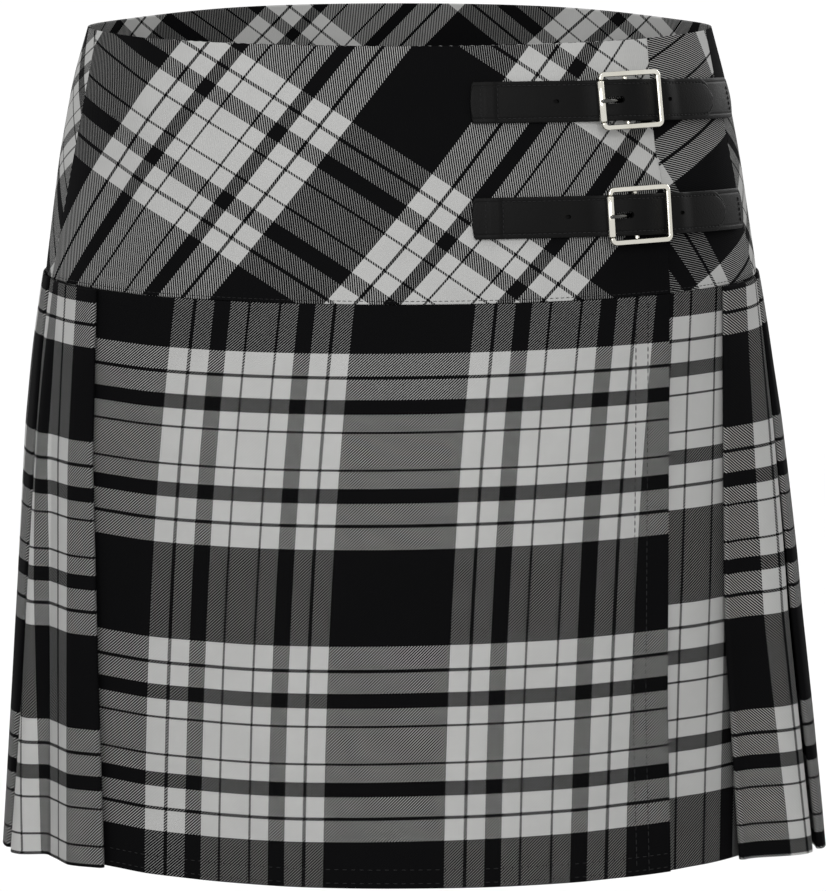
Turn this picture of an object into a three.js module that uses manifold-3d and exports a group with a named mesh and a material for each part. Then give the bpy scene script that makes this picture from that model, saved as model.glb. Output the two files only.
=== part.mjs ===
// A short pleated wrap skirt with a fitted yoke, two flat front aprons and two buckled straps.
// Millimetres. +Z is up, the front faces -Y and +X is the right hand of somebody who looks at the front.
// The origin is the middle of the waist opening, at the height of its top edge.
import * as THREE from 'three';
import Module from 'manifold-3d';
import { mergeVertices } from 'three/addons/utils/BufferGeometryUtils.js';

const wasm = await Module();
wasm.setup();

// Driving sizes of the cloth.
const CLOTH = 1.2;
const LAYER = 1.65;
const SEAM_GAP = 0.3;
const LENGTH = 418;
const YOKE_DEPTH = 126;
const PLEAT_TOP = YOKE_DEPTH + SEAM_GAP;

// The hollow form that the cloth hangs round. Each row is one height, "drop" below the waist,
// with the reach of the form to the left, right, front and back of the origin.
const SECTIONS = [
  { drop: 0, left: 158, right: 158, front: 105, back: 112 },
  { drop: 26, left: 165.5, right: 165, front: 110, back: 118 },
  { drop: 67, left: 173, right: 173, front: 115.5, back: 127 },
  { drop: 126, left: 180.5, right: 182, front: 122, back: 138 },
  { drop: 170, left: 183.5, right: 184, front: 126, back: 141 },
  { drop: 211, left: 185.5, right: 187, front: 129, back: 144 },
  { drop: 273, left: 187, right: 191.5, front: 132, back: 147 },
  { drop: 336, left: 188.5, right: 193.5, front: 134, back: 149.5 },
  { drop: 418, left: 190.5, right: 195, front: 136, back: 152 },
];

// Upright edges, as the distance of each from the middle of the front, to its own side.
const SIDE_SEAM_LEFT = [
  { drop: 0, x: 152 },
  { drop: 126, x: 176 },
];
const SIDE_SEAM_RIGHT = [
  { drop: 0, x: 154 },
  { drop: 126, x: 179.5 },
];
const OVER_YOKE_EDGE = [
  { drop: 0, x: 122 },
  { drop: 55, x: 126 },
  { drop: 70, x: 130 },
  { drop: 126, x: 134 },
];
const OVER_APRON_EDGE = [
  { drop: 126, x: 133.5 },
  { drop: 330, x: 133.5 },
  { drop: 418, x: 135.5 },
];
const FIRST_FOLD_LEFT = [
  { drop: 126, x: 151 },
  { drop: 211, x: 153 },
  { drop: 315, x: 150.5 },
  { drop: 418, x: 147.5 },
];
const FIRST_FOLD_RIGHT = [
  { drop: 126, x: 161.5 },
  { drop: 294, x: 162 },
  { drop: 418, x: 169.5 },
];
const UNDER_LAYER_END = 112;
const OVERLAP_RAMP = 24;
const OVERLAP_LEVEL = 13;

// Pleats, from the front to the back on each side. "fold" is how far the folded edge stands off
// the form at the hem, and "belly" how far the middle of its face does. The first pleat on the
// left has a face with a wave in it, whose lifts are given at shares of its width.
const RIGHT_PLEATS = [
  { fold: 8, belly: 28 },
  { fold: 30, belly: 11 },
  { fold: 10, belly: 13 },
  { fold: 13, belly: 12 },
  { fold: 13, belly: 18 },
];
const LEFT_PLEATS = [
  {
    fold: 7,
    wave: [
      { share: 0.14, lift: 11 },
      { share: 0.23, lift: 13 },
      { share: 0.45, lift: 9 },
      { share: 0.64, lift: 7.5 },
      { share: 0.73, lift: 20 },
      { share: 0.81, lift: 22 },
      { share: 0.9, lift: 19 },
    ],
  },
  { fold: 21, belly: 9 },
  { fold: 10, belly: 14 },
  { fold: 15, belly: 12 },
  { fold: 12, belly: 17 },
];
const BACK_PLEAT = { fold: 15, belly: 20 };
const FIRST_PLEAT_WIDTH = {
  right: [
    { drop: 126, x: 46 },
    { drop: 418, x: 37 },
  ],
  left: [
    { drop: 126, x: 52 },
    { drop: 211, x: 47 },
    { drop: 418, x: 62 },
  ],
};
const UNDERLAY = [
  { drop: 126, x: 46 },
  { drop: 418, x: 38 },
];
// How far the pressed tops of the pleats sit inside the form, so that they tuck in below the yoke.
const PLEAT_SET_IN = [
  { drop: 126, x: 2.6 },
  { drop: 160, x: 1 },
  { drop: 200, x: 0 },
];
const SET_IN_REACH = 30;
const UNDERLAY_MARGIN = 12;
const UNDERLAY_CLEAR = 3;
const JOIN_DEPTH = 16;
const LAYER_AT_TOP = 2;
const LAYER_AT_HEM = 3;
const BELLY_AT = 0.6;
const RISE_STEPS = 4;
const FALL_STEPS = 3;
const BEND_STEPS = 3;
const LAYER_STEPS = 4;
const YOKE_STEPS = 6;
const SKIRT_STEPS = 6;
const YOKE_COLUMNS = 26;
const BACK_COLUMNS = 36;
const APRON_COLUMNS = 28;

// Straps and buckles. Heights are measured off the outer face of the cloth below.
const STRAP_WIDTH = 20.5;
const STRAP_THICK = 1.8;
const TAB_THICK = 1.2;
const LEATHER_GAP = 0.4;
const SETTLE_START = 5;
const SETTLE_END = 15;
const TIP_TAPER = 7;
const TIP_WIDTH = 8;
const HOLE = { length: 3, width: 2 };
const PRONG_HOLE = { length: 9, width: 3.4 };
const PRONG_HOLE_BACK = 8;
const PRONG_SLOT = { length: 9, play: 1.4, reach: 12, back: 0.5 };
const SLOT_REACH = 24;
const BUCKLE = { width: 36.5, height: 29.3, bar: 3, thick: 2.6, corner: 3.5, bevel: 0.6 };
const LUG = { width: 3.2, thinner: 0.4, inset: 0.3 };
const BAR_PLAY = 0.25;
const PRONG_RADIUS = 1.1;
const PRONG_LOOP_RADIUS = 0.65;
const BAR_RADIUS = 1.3;
const ROLLER = { radius: 1.9, bore: 1.3, length: 20, endPlay: 0.5, rodPlay: 0.3 };
const ROD_INTO_CORNER = 2;
const STRAPS = [
  {
    name: 'upper', drop: 28, fall: 5, start: 34.5, buckle: 109.7, tip: 151.5, tab: 162, holes: [76, 129.5],
  },
  {
    name: 'lower', drop: 84.5, fall: 4, start: 35.5, buckle: 114.6, tip: 158.5, tab: 169, holes: [82, 136],
  },
];

// How the strap runs over the buckle, measured along it from the middle bar.
const CLIMB_BEFORE = 8;
const BAR_FLAT = 2;
const FINE_REACH = 21;
const COARSE_START = 26;
const PLAIN_END = 24;
const STRAP_STEPS = { plain: 9, fine: 14, tip: 2 };
const SEAT_STEP = 0.5;

// How the tab runs: its lower layer starts past the bar, and its upper layer a little further on.
const TAB_LOWER_PAST = 3;
const TAB_UPPER_PAST = 9;
const TAB_STEPS = 8;
const WRAP_STEPS = 10;

// The prong's middle line in three parts, measured from its loop, the frame's middle and the roller.
const PRONG_LINE = {
  loop: [
    { x: 0, z: 0.4 },
    { x: -2.5, z: 1.6 },
  ],
  frame: [
    { x: -PRONG_HOLE_BACK - 1, z: 0.6 },
  ],
  roller: [
    { x: 1.5, z: 0.2 },
    { x: -2.6, z: -0.2 },
  ],
};

const CLOTH_LOOK = { color: 0x6f6f6d, roughness: 0.9, metalness: 0 };
const LEATHER_LOOK = { color: 0x1b1b1b, roughness: 0.45, metalness: 0 };
const METAL_LOOK = { color: 0xb9b3a2, roughness: 0.2, metalness: 1 };

// Value of a column of a table at a drop, on straight lines between its rows.
function lookUp(table, drop, column = 'x') {
  if (drop <= table[0].drop) {
    return table[0][column];
  }
  for (let row = 1; row < table.length; row += 1) {
    const above = table[row - 1];
    const below = table[row];
    if (drop <= below.drop) {
      const share = (drop - above.drop) / (below.drop - above.drop);
      return THREE.MathUtils.lerp(above[column], below[column], share);
    }
  }
  return table[table.length - 1][column];
}

// Point of the form at a drop and an angle round it, with its outward direction in the level plane.
// The angle is 0 at the middle of the front and grows towards +X.
function formPoint(drop, angle) {
  const sine = Math.sin(angle);
  const cosine = Math.cos(angle);
  const across = lookUp(SECTIONS, drop, sine > 0 ? 'right' : 'left');
  const along = lookUp(SECTIONS, drop, cosine > 0 ? 'front' : 'back');
  const point = new THREE.Vector2(across * sine, -along * cosine);
  const outward = new THREE.Vector2(sine / across, -cosine / along).normalize();
  return { point, outward };
}

// The form's outline at one drop, measured round from the middle of the front.
class Ring {
  static steps = 720;

  constructor(drop) {
    this.drop = drop;
    this.lengths = [0];
    let previous = formPoint(drop, 0).point;
    for (let step = 1; step <= Ring.steps; step += 1) {
      const next = formPoint(drop, (2 * Math.PI * step) / Ring.steps).point;
      this.lengths.push(this.lengths[step - 1] + next.distanceTo(previous));
      previous = next;
    }
    this.perimeter = this.lengths[Ring.steps];
  }

  // Angle at a distance round the ring, where less than nothing is to the left.
  angleAt(distance) {
    const wrapped = THREE.MathUtils.euclideanModulo(distance, this.perimeter);
    let low = 0;
    let high = Ring.steps;
    while (high - low > 1) {
      const middle = (low + high) >> 1;
      if (this.lengths[middle] > wrapped) {
        high = middle;
      } else {
        low = middle;
      }
    }
    const share = (wrapped - this.lengths[low]) / (this.lengths[high] - this.lengths[low]);
    return (2 * Math.PI * (low + share)) / Ring.steps;
  }

  // Point at a distance round the ring, moved out by a lift.
  place(distance, lift) {
    const { point, outward } = formPoint(this.drop, this.angleAt(distance));
    return point.addScaledVector(outward, lift);
  }

  // Distance round the front half to a point x from the middle, to the side whose reach is given.
  distanceToX(x, side) {
    const angle = Math.asin(x / lookUp(SECTIONS, this.drop, side));
    const index = (angle / (2 * Math.PI)) * Ring.steps;
    const low = Math.floor(index);
    const right = THREE.MathUtils.lerp(this.lengths[low], this.lengths[low + 1], index - low);
    if (side === 'right') {
      return right;
    }
    const mirrored = Ring.steps - index;
    const floor = Math.floor(mirrored);
    const above = this.lengths[floor + 1] ?? this.perimeter;
    return this.perimeter - THREE.MathUtils.lerp(this.lengths[floor], above, mirrored - floor);
  }
}

function geometryOf(positions, indices) {
  const geometry = new THREE.BufferGeometry();
  geometry.setAttribute('position', new THREE.Float32BufferAttribute(positions, 3));
  geometry.setIndex(indices);
  return geometry;
}

// Six times the volume that the faces enclose, less than nothing where they point inwards.
function signedVolume(positions, indices) {
  const corner = (index) => new THREE.Vector3().fromArray(positions, 3 * index);
  let total = 0;
  for (let face = 0; face < indices.length; face += 3) {
    const [a, b, c] = [corner(indices[face]), corner(indices[face + 1]), corner(indices[face + 2])];
    total += a.dot(b.cross(c));
  }
  return total;
}

// A closed body through loops of points. Point i of a loop faces point (count - 1 - i) across the
// wall, and the two end faces are strips between those pairs.
function stackLoops(loops) {
  const count = loops[0].length;
  const positions = loops.flat().flatMap((point) => point.toArray());
  const indices = [];
  const quad = (a, b, c, d) => indices.push(a, b, c, a, c, d);
  for (let level = 0; level < loops.length - 1; level += 1) {
    for (let i = 0; i < count; i += 1) {
      const next = (i + 1) % count;
      const base = level * count;
      quad(base + i, base + next, base + count + next, base + count + i);
    }
  }
  const last = (loops.length - 1) * count;
  for (let i = 0; i < count / 2 - 1; i += 1) {
    const far = count - 1 - i;
    quad(far, far - 1, i + 1, i);
    quad(last + i, last + i + 1, last + far - 1, last + far);
  }
  if (signedVolume(positions, indices) < 0) {
    indices.reverse();
  }
  return geometryOf(positions, indices);
}

// One side of a line of cloth: every point moved sideways by half the thickness, corners mitred.
function besideLine(line, shift) {
  return line.map((point, i) => {
    const before = line[Math.max(i - 1, 0)];
    const after = line[Math.min(i + 1, line.length - 1)];
    const arriving = (i === 0 ? after.clone().sub(point) : point.clone().sub(before)).normalize();
    const leaving = (i === line.length - 1 ? arriving.clone() : after.clone().sub(point)).normalize();
    const bisector = new THREE.Vector2(arriving.y + leaving.y, -arriving.x - leaving.x);
    const stretch = 1 + arriving.dot(leaving);
    return point.clone().addScaledVector(bisector, shift / stretch);
  });
}

// A wall of cloth through one line of points at each drop.
function wall(drops, lineAt, thickness = CLOTH) {
  const loops = drops.map((drop) => {
    const line = lineAt(new Ring(drop));
    const outer = besideLine(line, thickness / 2);
    const inner = besideLine(line, -thickness / 2).reverse();
    return [...outer, ...inner].map(({ x, y }) => new THREE.Vector3(x, y, -drop));
  });
  return stackLoops(loops);
}

// Points of a single layer between two distances, with the lift that a function gives.
function layerLine(ring, from, to, steps, liftAt) {
  const line = [];
  for (let step = 0; step <= steps; step += 1) {
    const distance = THREE.MathUtils.lerp(from, to, step / steps);
    line.push(ring.place(distance, liftAt(distance)));
  }
  return line;
}

// The over layer lies one layer out where there is an under layer, and comes in well beyond its
// end, so that the flats between its points stay clear of that end.
function overLift(ring) {
  const level = -ring.distanceToX(UNDER_LAYER_END, 'left') - OVERLAP_LEVEL;
  return (distance) => LAYER * THREE.MathUtils.smoothstep(distance, level - OVERLAP_RAMP, level);
}

// Spacing of two neighbouring layers of a pleat at a drop: pressed at the top, looser at the hem.
function layerAt(drop) {
  return THREE.MathUtils.lerp(LAYER_AT_TOP, LAYER_AT_HEM, hang(drop));
}

// How far down the pleats a drop is, from 0 at the yoke to 1 at the hem.
function hang(drop) {
  return THREE.MathUtils.clamp((drop - YOKE_DEPTH) / (LENGTH - YOKE_DEPTH), 0, 1);
}

// The half-outline of the pleats at one drop: distances of the folds from the middle of the front.
function foldDistances(ring) {
  const rowOf = { right: RIGHT_PLEATS, left: LEFT_PLEATS };
  const tableOf = { right: FIRST_FOLD_RIGHT, left: FIRST_FOLD_LEFT };
  const first = {};
  const second = {};
  for (const side of ['right', 'left']) {
    first[side] = ring.distanceToX(lookUp(tableOf[side], ring.drop), side);
    second[side] = first[side] + lookUp(FIRST_PLEAT_WIDTH[side], ring.drop);
  }
  const shared = RIGHT_PLEATS.length + LEFT_PLEATS.length - 1;
  const pitch = (ring.perimeter - second.right - second.left) / shared;
  const folds = {};
  for (const side of ['right', 'left']) {
    const rest = rowOf[side].map((row, i) => second[side] + i * pitch);
    folds[side] = [first[side], ...rest];
  }
  return { folds, pitch };
}

// Lift of a fold or belly at a drop, grown from its pressed place at the yoke to its size at the hem.
function grown(drop, atHem) {
  return THREE.MathUtils.lerp(2 * LAYER_AT_TOP, atHem, hang(drop));
}

// A round bend of the cloth between two layers, without its end points. Turn is 1 for a bend that
// points away from the front and -1 for a folded edge.
function bend(distance, lowLift, layer, turn, upwards) {
  const knots = [];
  for (let step = 1; step < BEND_STEPS; step += 1) {
    const angle = (Math.PI * step) / BEND_STEPS - Math.PI / 2;
    const height = upwards ? Math.sin(angle) : -Math.sin(angle);
    knots.push({
      distance: distance + (turn * Math.cos(angle) * layer) / 2,
      lift: lowLift + (layer / 2) * (1 + height),
    });
  }
  return knots;
}

// Face of a pleat from its own fold to the next: it rises to its belly, stays clear of its own
// underlay as far as "clear", and comes down to the last lift.
function face(from, to, clear, firstLift, bellyLift, lastLift) {
  const top = Math.max(THREE.MathUtils.lerp(from, to, BELLY_AT), clear);
  const shares = [...rowsBetween(0, 1, RISE_STEPS), ...rowsBetween(1, 2, FALL_STEPS).slice(1)];
  return shares.map((share) => {
    const rising = share <= 1;
    const part = rising ? share : share - 1;
    const eased = THREE.MathUtils.smoothstep(part, 0, 1);
    const [near, far] = rising ? [from, top] : [top, to];
    const [low, high] = rising ? [firstLift, bellyLift] : [bellyLift, lastLift];
    return {
      distance: THREE.MathUtils.lerp(near, far, part),
      lift: THREE.MathUtils.lerp(low, high, eased),
    };
  });
}

// Face of a pleat with a wave of its own, from its fold to the last lift.
function wavyFace(from, to, drop, row, lastLift) {
  const knots = [{ share: 0, lift: row.fold }, ...row.wave].map(({ share, lift }) => {
    return { distance: THREE.MathUtils.lerp(from, to, share), lift: grown(drop, lift) };
  });
  return [...knots, { distance: to, lift: lastLift }];
}

// Knots of one layer between two others, straight in lift. It leaves its own end out.
function between(start, end) {
  const knots = [];
  for (let step = 0; step < LAYER_STEPS; step += 1) {
    const share = step / LAYER_STEPS;
    knots.push({
      distance: THREE.MathUtils.lerp(start.distance, end.distance, share),
      lift: THREE.MathUtils.lerp(start.lift, end.lift, share),
    });
  }
  return knots;
}

// Underlay of a pleat: the hidden inner layer, its bend and the layer that returns to the fold.
function underlay(fold, depth, layer, foldLift, start) {
  const inner = { distance: fold + depth, lift: 0 };
  const back = { distance: fold + depth, lift: layer };
  const edge = { distance: fold, lift: foldLift - layer };
  return [
    ...between(start, inner),
    inner,
    ...bend(inner.distance, 0, layer, 1, true),
    ...between(back, edge),
    edge,
    ...bend(fold, edge.lift, layer, -1, true),
  ];
}

// The pleats of one side as knots of distance and lift, in order from the front to the back.
function pleatKnots(ring, side) {
  const { drop } = ring;
  const rows = side === 'right' ? RIGHT_PLEATS : LEFT_PLEATS;
  const { folds, pitch } = foldDistances(ring);
  const layer = layerAt(drop);
  const foldLift = (row) => grown(drop, row.fold);
  const knots = [];
  let start = { distance: folds[side][0] + JOIN_DEPTH, lift: 0 };
  rows.forEach((row, i) => {
    const fold = folds[side][i];
    const next = folds[side][i + 1];
    const depth = Math.min(lookUp(UNDERLAY, drop), next - fold - UNDERLAY_MARGIN);
    knots.push(...underlay(fold, depth, layer, foldLift(row), start));
    const tuck = foldLift(rows[i + 1] ?? BACK_PLEAT) - 2 * layer;
    const clear = fold + depth + UNDERLAY_CLEAR;
    const faceKnots = row.wave
      ? wavyFace(fold, next, drop, row, tuck)
      : face(fold, next, clear, foldLift(row), grown(drop, row.belly), tuck);
    start = faceKnots.pop();
    knots.push(...faceKnots);
  });
  const lastFold = folds[side][rows.length];
  const boxDepth = pitch / 2 - UNDERLAY_CLEAR;
  if (side === 'left') {
    const end = { distance: lastFold + boxDepth, lift: 0 };
    return [...knots, ...between(start, end), end];
  }
  return [...knots, ...backPleatKnots(ring, lastFold, pitch, boxDepth, start)];
}

// The box pleat at the middle of the back: folded under at both of its edges.
function backPleatKnots(ring, fold, pitch, depth, start) {
  const layer = layerAt(ring.drop);
  const lift = grown(ring.drop, BACK_PLEAT.fold);
  const belly = grown(ring.drop, BACK_PLEAT.belly);
  const far = fold + pitch;
  const end = { distance: far - depth, lift: layer };
  return [
    ...underlay(fold, depth, layer, lift, start),
    ...face(fold, far, fold + depth, lift, belly, lift),
    ...bend(far, lift - layer, layer, 1, false),
    ...between({ distance: far, lift: lift - layer }, end),
    end,
  ];
}

// The line of cloth through the pleats of one side, set in at the top from past its join onwards.
function pleatLine(side) {
  const hand = side === 'right' ? 1 : -1;
  return (ring) => {
    const joined = foldDistances(ring).folds[side][0] + JOIN_DEPTH;
    const setIn = lookUp(PLEAT_SET_IN, ring.drop);
    return pleatKnots(ring, side).map(({ distance, lift }) => {
      const share = THREE.MathUtils.smoothstep(distance, joined, joined + SET_IN_REACH);
      return ring.place(hand * distance, lift - setIn * share);
    });
  };
}

// Drops of the rows of points, evenly spaced.
function rowsBetween(top, bottom, count) {
  return Array.from({ length: count + 1 }, (_, i) => THREE.MathUtils.lerp(top, bottom, i / count));
}

const YOKE_ROWS = rowsBetween(0, YOKE_DEPTH, YOKE_STEPS);
const SKIRT_ROWS = rowsBetween(PLEAT_TOP, LENGTH, SKIRT_STEPS);

function overYoke() {
  return wall(YOKE_ROWS, (ring) => {
    const from = -ring.distanceToX(lookUp(SIDE_SEAM_LEFT, ring.drop), 'left');
    const to = ring.distanceToX(lookUp(OVER_YOKE_EDGE, ring.drop), 'right');
    return layerLine(ring, from, to, YOKE_COLUMNS, overLift(ring));
  });
}

function underYoke() {
  return wall(YOKE_ROWS, (ring) => {
    const from = -ring.distanceToX(UNDER_LAYER_END, 'left');
    const to = ring.distanceToX(lookUp(SIDE_SEAM_RIGHT, ring.drop), 'right') - SEAM_GAP;
    return layerLine(ring, from, to, YOKE_COLUMNS, () => 0);
  });
}

function backYoke() {
  return wall(YOKE_ROWS, (ring) => {
    const from = ring.distanceToX(lookUp(SIDE_SEAM_RIGHT, ring.drop), 'right');
    const left = ring.distanceToX(lookUp(SIDE_SEAM_LEFT, ring.drop), 'left');
    return layerLine(ring, from, ring.perimeter - left - SEAM_GAP, BACK_COLUMNS, () => 0);
  });
}

function overApron() {
  return wall(SKIRT_ROWS, (ring) => {
    const fold = ring.distanceToX(lookUp(FIRST_FOLD_LEFT, ring.drop), 'left');
    const to = ring.distanceToX(lookUp(OVER_APRON_EDGE, ring.drop), 'right');
    const from = -fold - JOIN_DEPTH + SEAM_GAP;
    return layerLine(ring, from, to, APRON_COLUMNS, overLift(ring));
  });
}

function underApron() {
  return wall(SKIRT_ROWS, (ring) => {
    const fold = ring.distanceToX(lookUp(FIRST_FOLD_RIGHT, ring.drop), 'right');
    const from = -ring.distanceToX(UNDER_LAYER_END, 'left');
    return layerLine(ring, from, fold + JOIN_DEPTH - SEAM_GAP, APRON_COLUMNS, () => 0);
  });
}

// A closed geometry as a solid that can be cut and joined, and back again.
function toSolid(geometry) {
  const bare = geometry.clone();
  bare.deleteAttribute('normal');
  bare.deleteAttribute('uv');
  const merged = mergeVertices(bare, 1e-4);
  const mesh = new wasm.Mesh({
    numProp: 3,
    vertProperties: new Float32Array(merged.attributes.position.array),
    triVerts: new Uint32Array(merged.index.array),
  });
  return new wasm.Manifold(mesh);
}

function toGeometry(solid) {
  const { vertProperties, triVerts } = solid.getMesh();
  return geometryOf(Array.from(vertProperties), Array.from(triVerts));
}

// Height of the outer face of the cloth under the straps: the over yoke, then the under yoke.
function clothFace(ring, distance) {
  const edge = ring.distanceToX(lookUp(OVER_YOKE_EDGE, ring.drop), 'right');
  const settled = THREE.MathUtils.smoothstep(distance, edge + SETTLE_START, edge + SETTLE_END);
  return CLOTH / 2 + LAYER * (1 - settled);
}

// Everything about a strap that its pieces share.
function strapPlan(strap) {
  const ring = new Ring(strap.drop);
  const along = (x) => ring.distanceToX(x, 'right');
  const [start, buckle, tip, tab] = [strap.start, strap.buckle, strap.tip, strap.tab].map(along);
  const dropAt = (distance) => {
    const share = Math.max(0, (distance - start) / (tip - start));
    return strap.drop + strap.fall * share * share;
  };
  return { ring, start, buckle, tip, tab, along, dropAt };
}

// A frame on the form, from a point at a height off the cloth: x runs round it, y up and z out.
function seat(plan, distance, height) {
  const drop = plan.dropAt(distance);
  const spot = (shift, fall) => {
    const { x, y } = plan.ring.place(distance + shift, 0);
    const flat = formPoint(drop + fall, plan.ring.angleAt(distance + shift)).point;
    return fall === 0 ? new THREE.Vector3(x, y, -drop) : new THREE.Vector3(flat.x, flat.y, -drop - fall);
  };
  const round = spot(SEAT_STEP, 0).sub(spot(-SEAT_STEP, 0)).normalize();
  const rough = spot(0, -SEAT_STEP).sub(spot(0, SEAT_STEP));
  const out = round.clone().cross(rough).normalize();
  const up = out.clone().cross(round);
  const origin = formPoint(drop, plan.ring.angleAt(distance)).point;
  const lift = clothFace(plan.ring, distance) + height;
  const centre = new THREE.Vector3(origin.x, origin.y, -drop).addScaledVector(out, lift);
  return new THREE.Matrix4().makeBasis(round, up, out).setPosition(centre);
}

const TAB_LOW = LEATHER_GAP + TAB_THICK / 2;
const WRAP_RADIUS = BAR_RADIUS + BAR_PLAY + TAB_THICK / 2;
const BAR_HEIGHT = TAB_LOW + WRAP_RADIUS;
const TAB_HIGH = TAB_LOW + TAB_THICK + LEATHER_GAP;
const STRAP_LOW = LEATHER_GAP + STRAP_THICK / 2;
const STRAP_OVER_BAR = BAR_HEIGHT + WRAP_RADIUS + TAB_THICK / 2 + LEATHER_GAP + STRAP_THICK / 2;
const STRAP_ON_TAB = TAB_HIGH + TAB_THICK / 2 + LEATHER_GAP + STRAP_THICK / 2;
const FRAME_HEIGHT = STRAP_ON_TAB + STRAP_THICK / 2 + LEATHER_GAP + BUCKLE.thick / 2;
const END_BAR = BUCKLE.width / 2 - BUCKLE.bar / 2;

// Height of the middle of the strap at a distance past the buckle's middle bar.
function strapHeight(past) {
  const climb = THREE.MathUtils.smoothstep(past, -END_BAR - CLIMB_BEFORE, -BAR_FLAT);
  const settle = THREE.MathUtils.smoothstep(past, BAR_FLAT, END_BAR);
  return past < 0
    ? THREE.MathUtils.lerp(STRAP_LOW, STRAP_OVER_BAR, climb)
    : THREE.MathUtils.lerp(STRAP_OVER_BAR, STRAP_ON_TAB, settle);
}

// Four corners of the strap or tab at one station: outer top, outer bottom, inner bottom, inner top.
function stationLoop(plan, distance, height, width, thickness) {
  const matrix = seat(plan, distance, height);
  const corner = (y, z) => new THREE.Vector3(0, y, z).applyMatrix4(matrix);
  const [halfWidth, halfThick] = [width / 2, thickness / 2];
  return [
    corner(halfWidth, halfThick),
    corner(-halfWidth, halfThick),
    corner(-halfWidth, -halfThick),
    corner(halfWidth, -halfThick),
  ];
}

// Upright slot through the leather at a distance, as a rounded bar that points out of the cloth.
function slotCutter(plan, distance, { length, width }) {
  const shape = new THREE.Shape();
  const straight = (length - width) / 2;
  shape.absarc(straight, 0, width / 2, -Math.PI / 2, Math.PI / 2);
  shape.absarc(-straight, 0, width / 2, Math.PI / 2, (3 * Math.PI) / 2);
  shape.closePath();
  const geometry = new THREE.ExtrudeGeometry(shape, {
    depth: SLOT_REACH,
    bevelEnabled: false,
    curveSegments: 5,
  });
  geometry.translate(0, 0, -SLOT_REACH / 2);
  geometry.applyMatrix4(seat(plan, distance, STRAP_OVER_BAR));
  return toSolid(geometry);
}

function strapGeometry(strap) {
  const plan = strapPlan(strap);
  const stations = [
    ...rowsBetween(plan.start, plan.buckle - PLAIN_END, STRAP_STEPS.plain),
    ...rowsBetween(plan.buckle - FINE_REACH, plan.buckle + FINE_REACH, STRAP_STEPS.fine),
    ...rowsBetween(plan.buckle + COARSE_START, plan.tip - TIP_TAPER, STRAP_STEPS.tip),
    plan.tip,
  ];
  const loops = stations.map((distance) => {
    const width = distance > plan.tip - TIP_TAPER / 2 ? TIP_WIDTH : STRAP_WIDTH;
    return stationLoop(plan, distance, strapHeight(distance - plan.buckle), width, STRAP_THICK);
  });
  let solid = toSolid(stackLoops(loops));
  for (const x of strap.holes) {
    solid = solid.subtract(slotCutter(plan, plan.along(x), HOLE));
  }
  solid = solid.subtract(slotCutter(plan, plan.buckle - PRONG_HOLE_BACK, PRONG_HOLE));
  return toGeometry(solid);
}

// The short tab that holds the buckle: sewn to the under yoke and wrapped round the middle bar.
function tabGeometry(strap) {
  const plan = strapPlan(strap);
  const flat = (from, to, height) => rowsBetween(from, to, TAB_STEPS).map((distance) => {
    return { distance, height, x: 0, z: 0 };
  });
  const wrap = rowsBetween(-Math.PI / 2, -1.5 * Math.PI, WRAP_STEPS).map((turn) => {
    const [x, z] = [WRAP_RADIUS * Math.cos(turn), WRAP_RADIUS * Math.sin(turn)];
    return { distance: plan.buckle, height: BAR_HEIGHT, x, z };
  });
  const middle = [
    ...flat(plan.tab, plan.buckle + TAB_LOWER_PAST, TAB_LOW),
    ...wrap,
    ...flat(plan.buckle + TAB_UPPER_PAST, plan.tab, TAB_HIGH),
  ];
  const edge = (y) => middle.map(({ distance, height, x, z }) => {
    return new THREE.Vector3(x, y, z).applyMatrix4(seat(plan, distance, height));
  });
  return tabFromEdges(edge(STRAP_WIDTH / 2), edge(-STRAP_WIDTH / 2));
}

// A folded strip between two edge lines, thickened evenly to both sides.
function tabFromEdges(top, bottom) {
  const across = top.map((point, i) => point.clone().sub(bottom[i]).normalize());
  const side = (edge, shift) => edge.map((point, i) => {
    const before = edge[Math.max(i - 1, 0)];
    const after = edge[Math.min(i + 1, edge.length - 1)];
    const onward = after.clone().sub(before).normalize();
    return point.clone().addScaledVector(onward.cross(across[i]).normalize(), shift);
  });
  const loopOf = (edge) => [...side(edge, TAB_THICK / 2), ...side(edge, -TAB_THICK / 2).reverse()];
  return stackLoops([loopOf(top), loopOf(bottom)]);
}

// The tab has a slot for the prong where it goes round the bar.
function slottedTab(strap) {
  const plan = strapPlan(strap);
  const { length, play, reach, back } = PRONG_SLOT;
  const slot = new THREE.BoxGeometry(length, 2 * PRONG_RADIUS + play, reach);
  slot.applyMatrix4(seat(plan, plan.buckle - back, BAR_HEIGHT));
  return toGeometry(toSolid(tabGeometry(strap)).subtract(toSolid(slot)));
}

// A rectangle with rounded corners, drawn into a shape or a hole from its centre and size.
function roundedRectangle(path, centre, width, height, radius) {
  const [right, top] = [centre + width / 2, height / 2];
  const left = centre - width / 2;
  path.moveTo(left + radius, -top);
  path.lineTo(right - radius, -top);
  path.absarc(right - radius, -top + radius, radius, -Math.PI / 2, 0);
  path.lineTo(right, top - radius);
  path.absarc(right - radius, top - radius, radius, 0, Math.PI / 2);
  path.lineTo(left + radius, top);
  path.absarc(left + radius, top - radius, radius, Math.PI / 2, Math.PI);
  path.lineTo(left, -top + radius);
  path.absarc(left + radius, -top + radius, radius, Math.PI, 1.5 * Math.PI);
  return path;
}

// A rod along the buckle's height.
function uprightRod(x, z, radius, length, sides = 12) {
  const rod = new THREE.CylinderGeometry(radius, radius, length, sides);
  rod.translate(x, 0, z);
  return rod;
}

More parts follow.
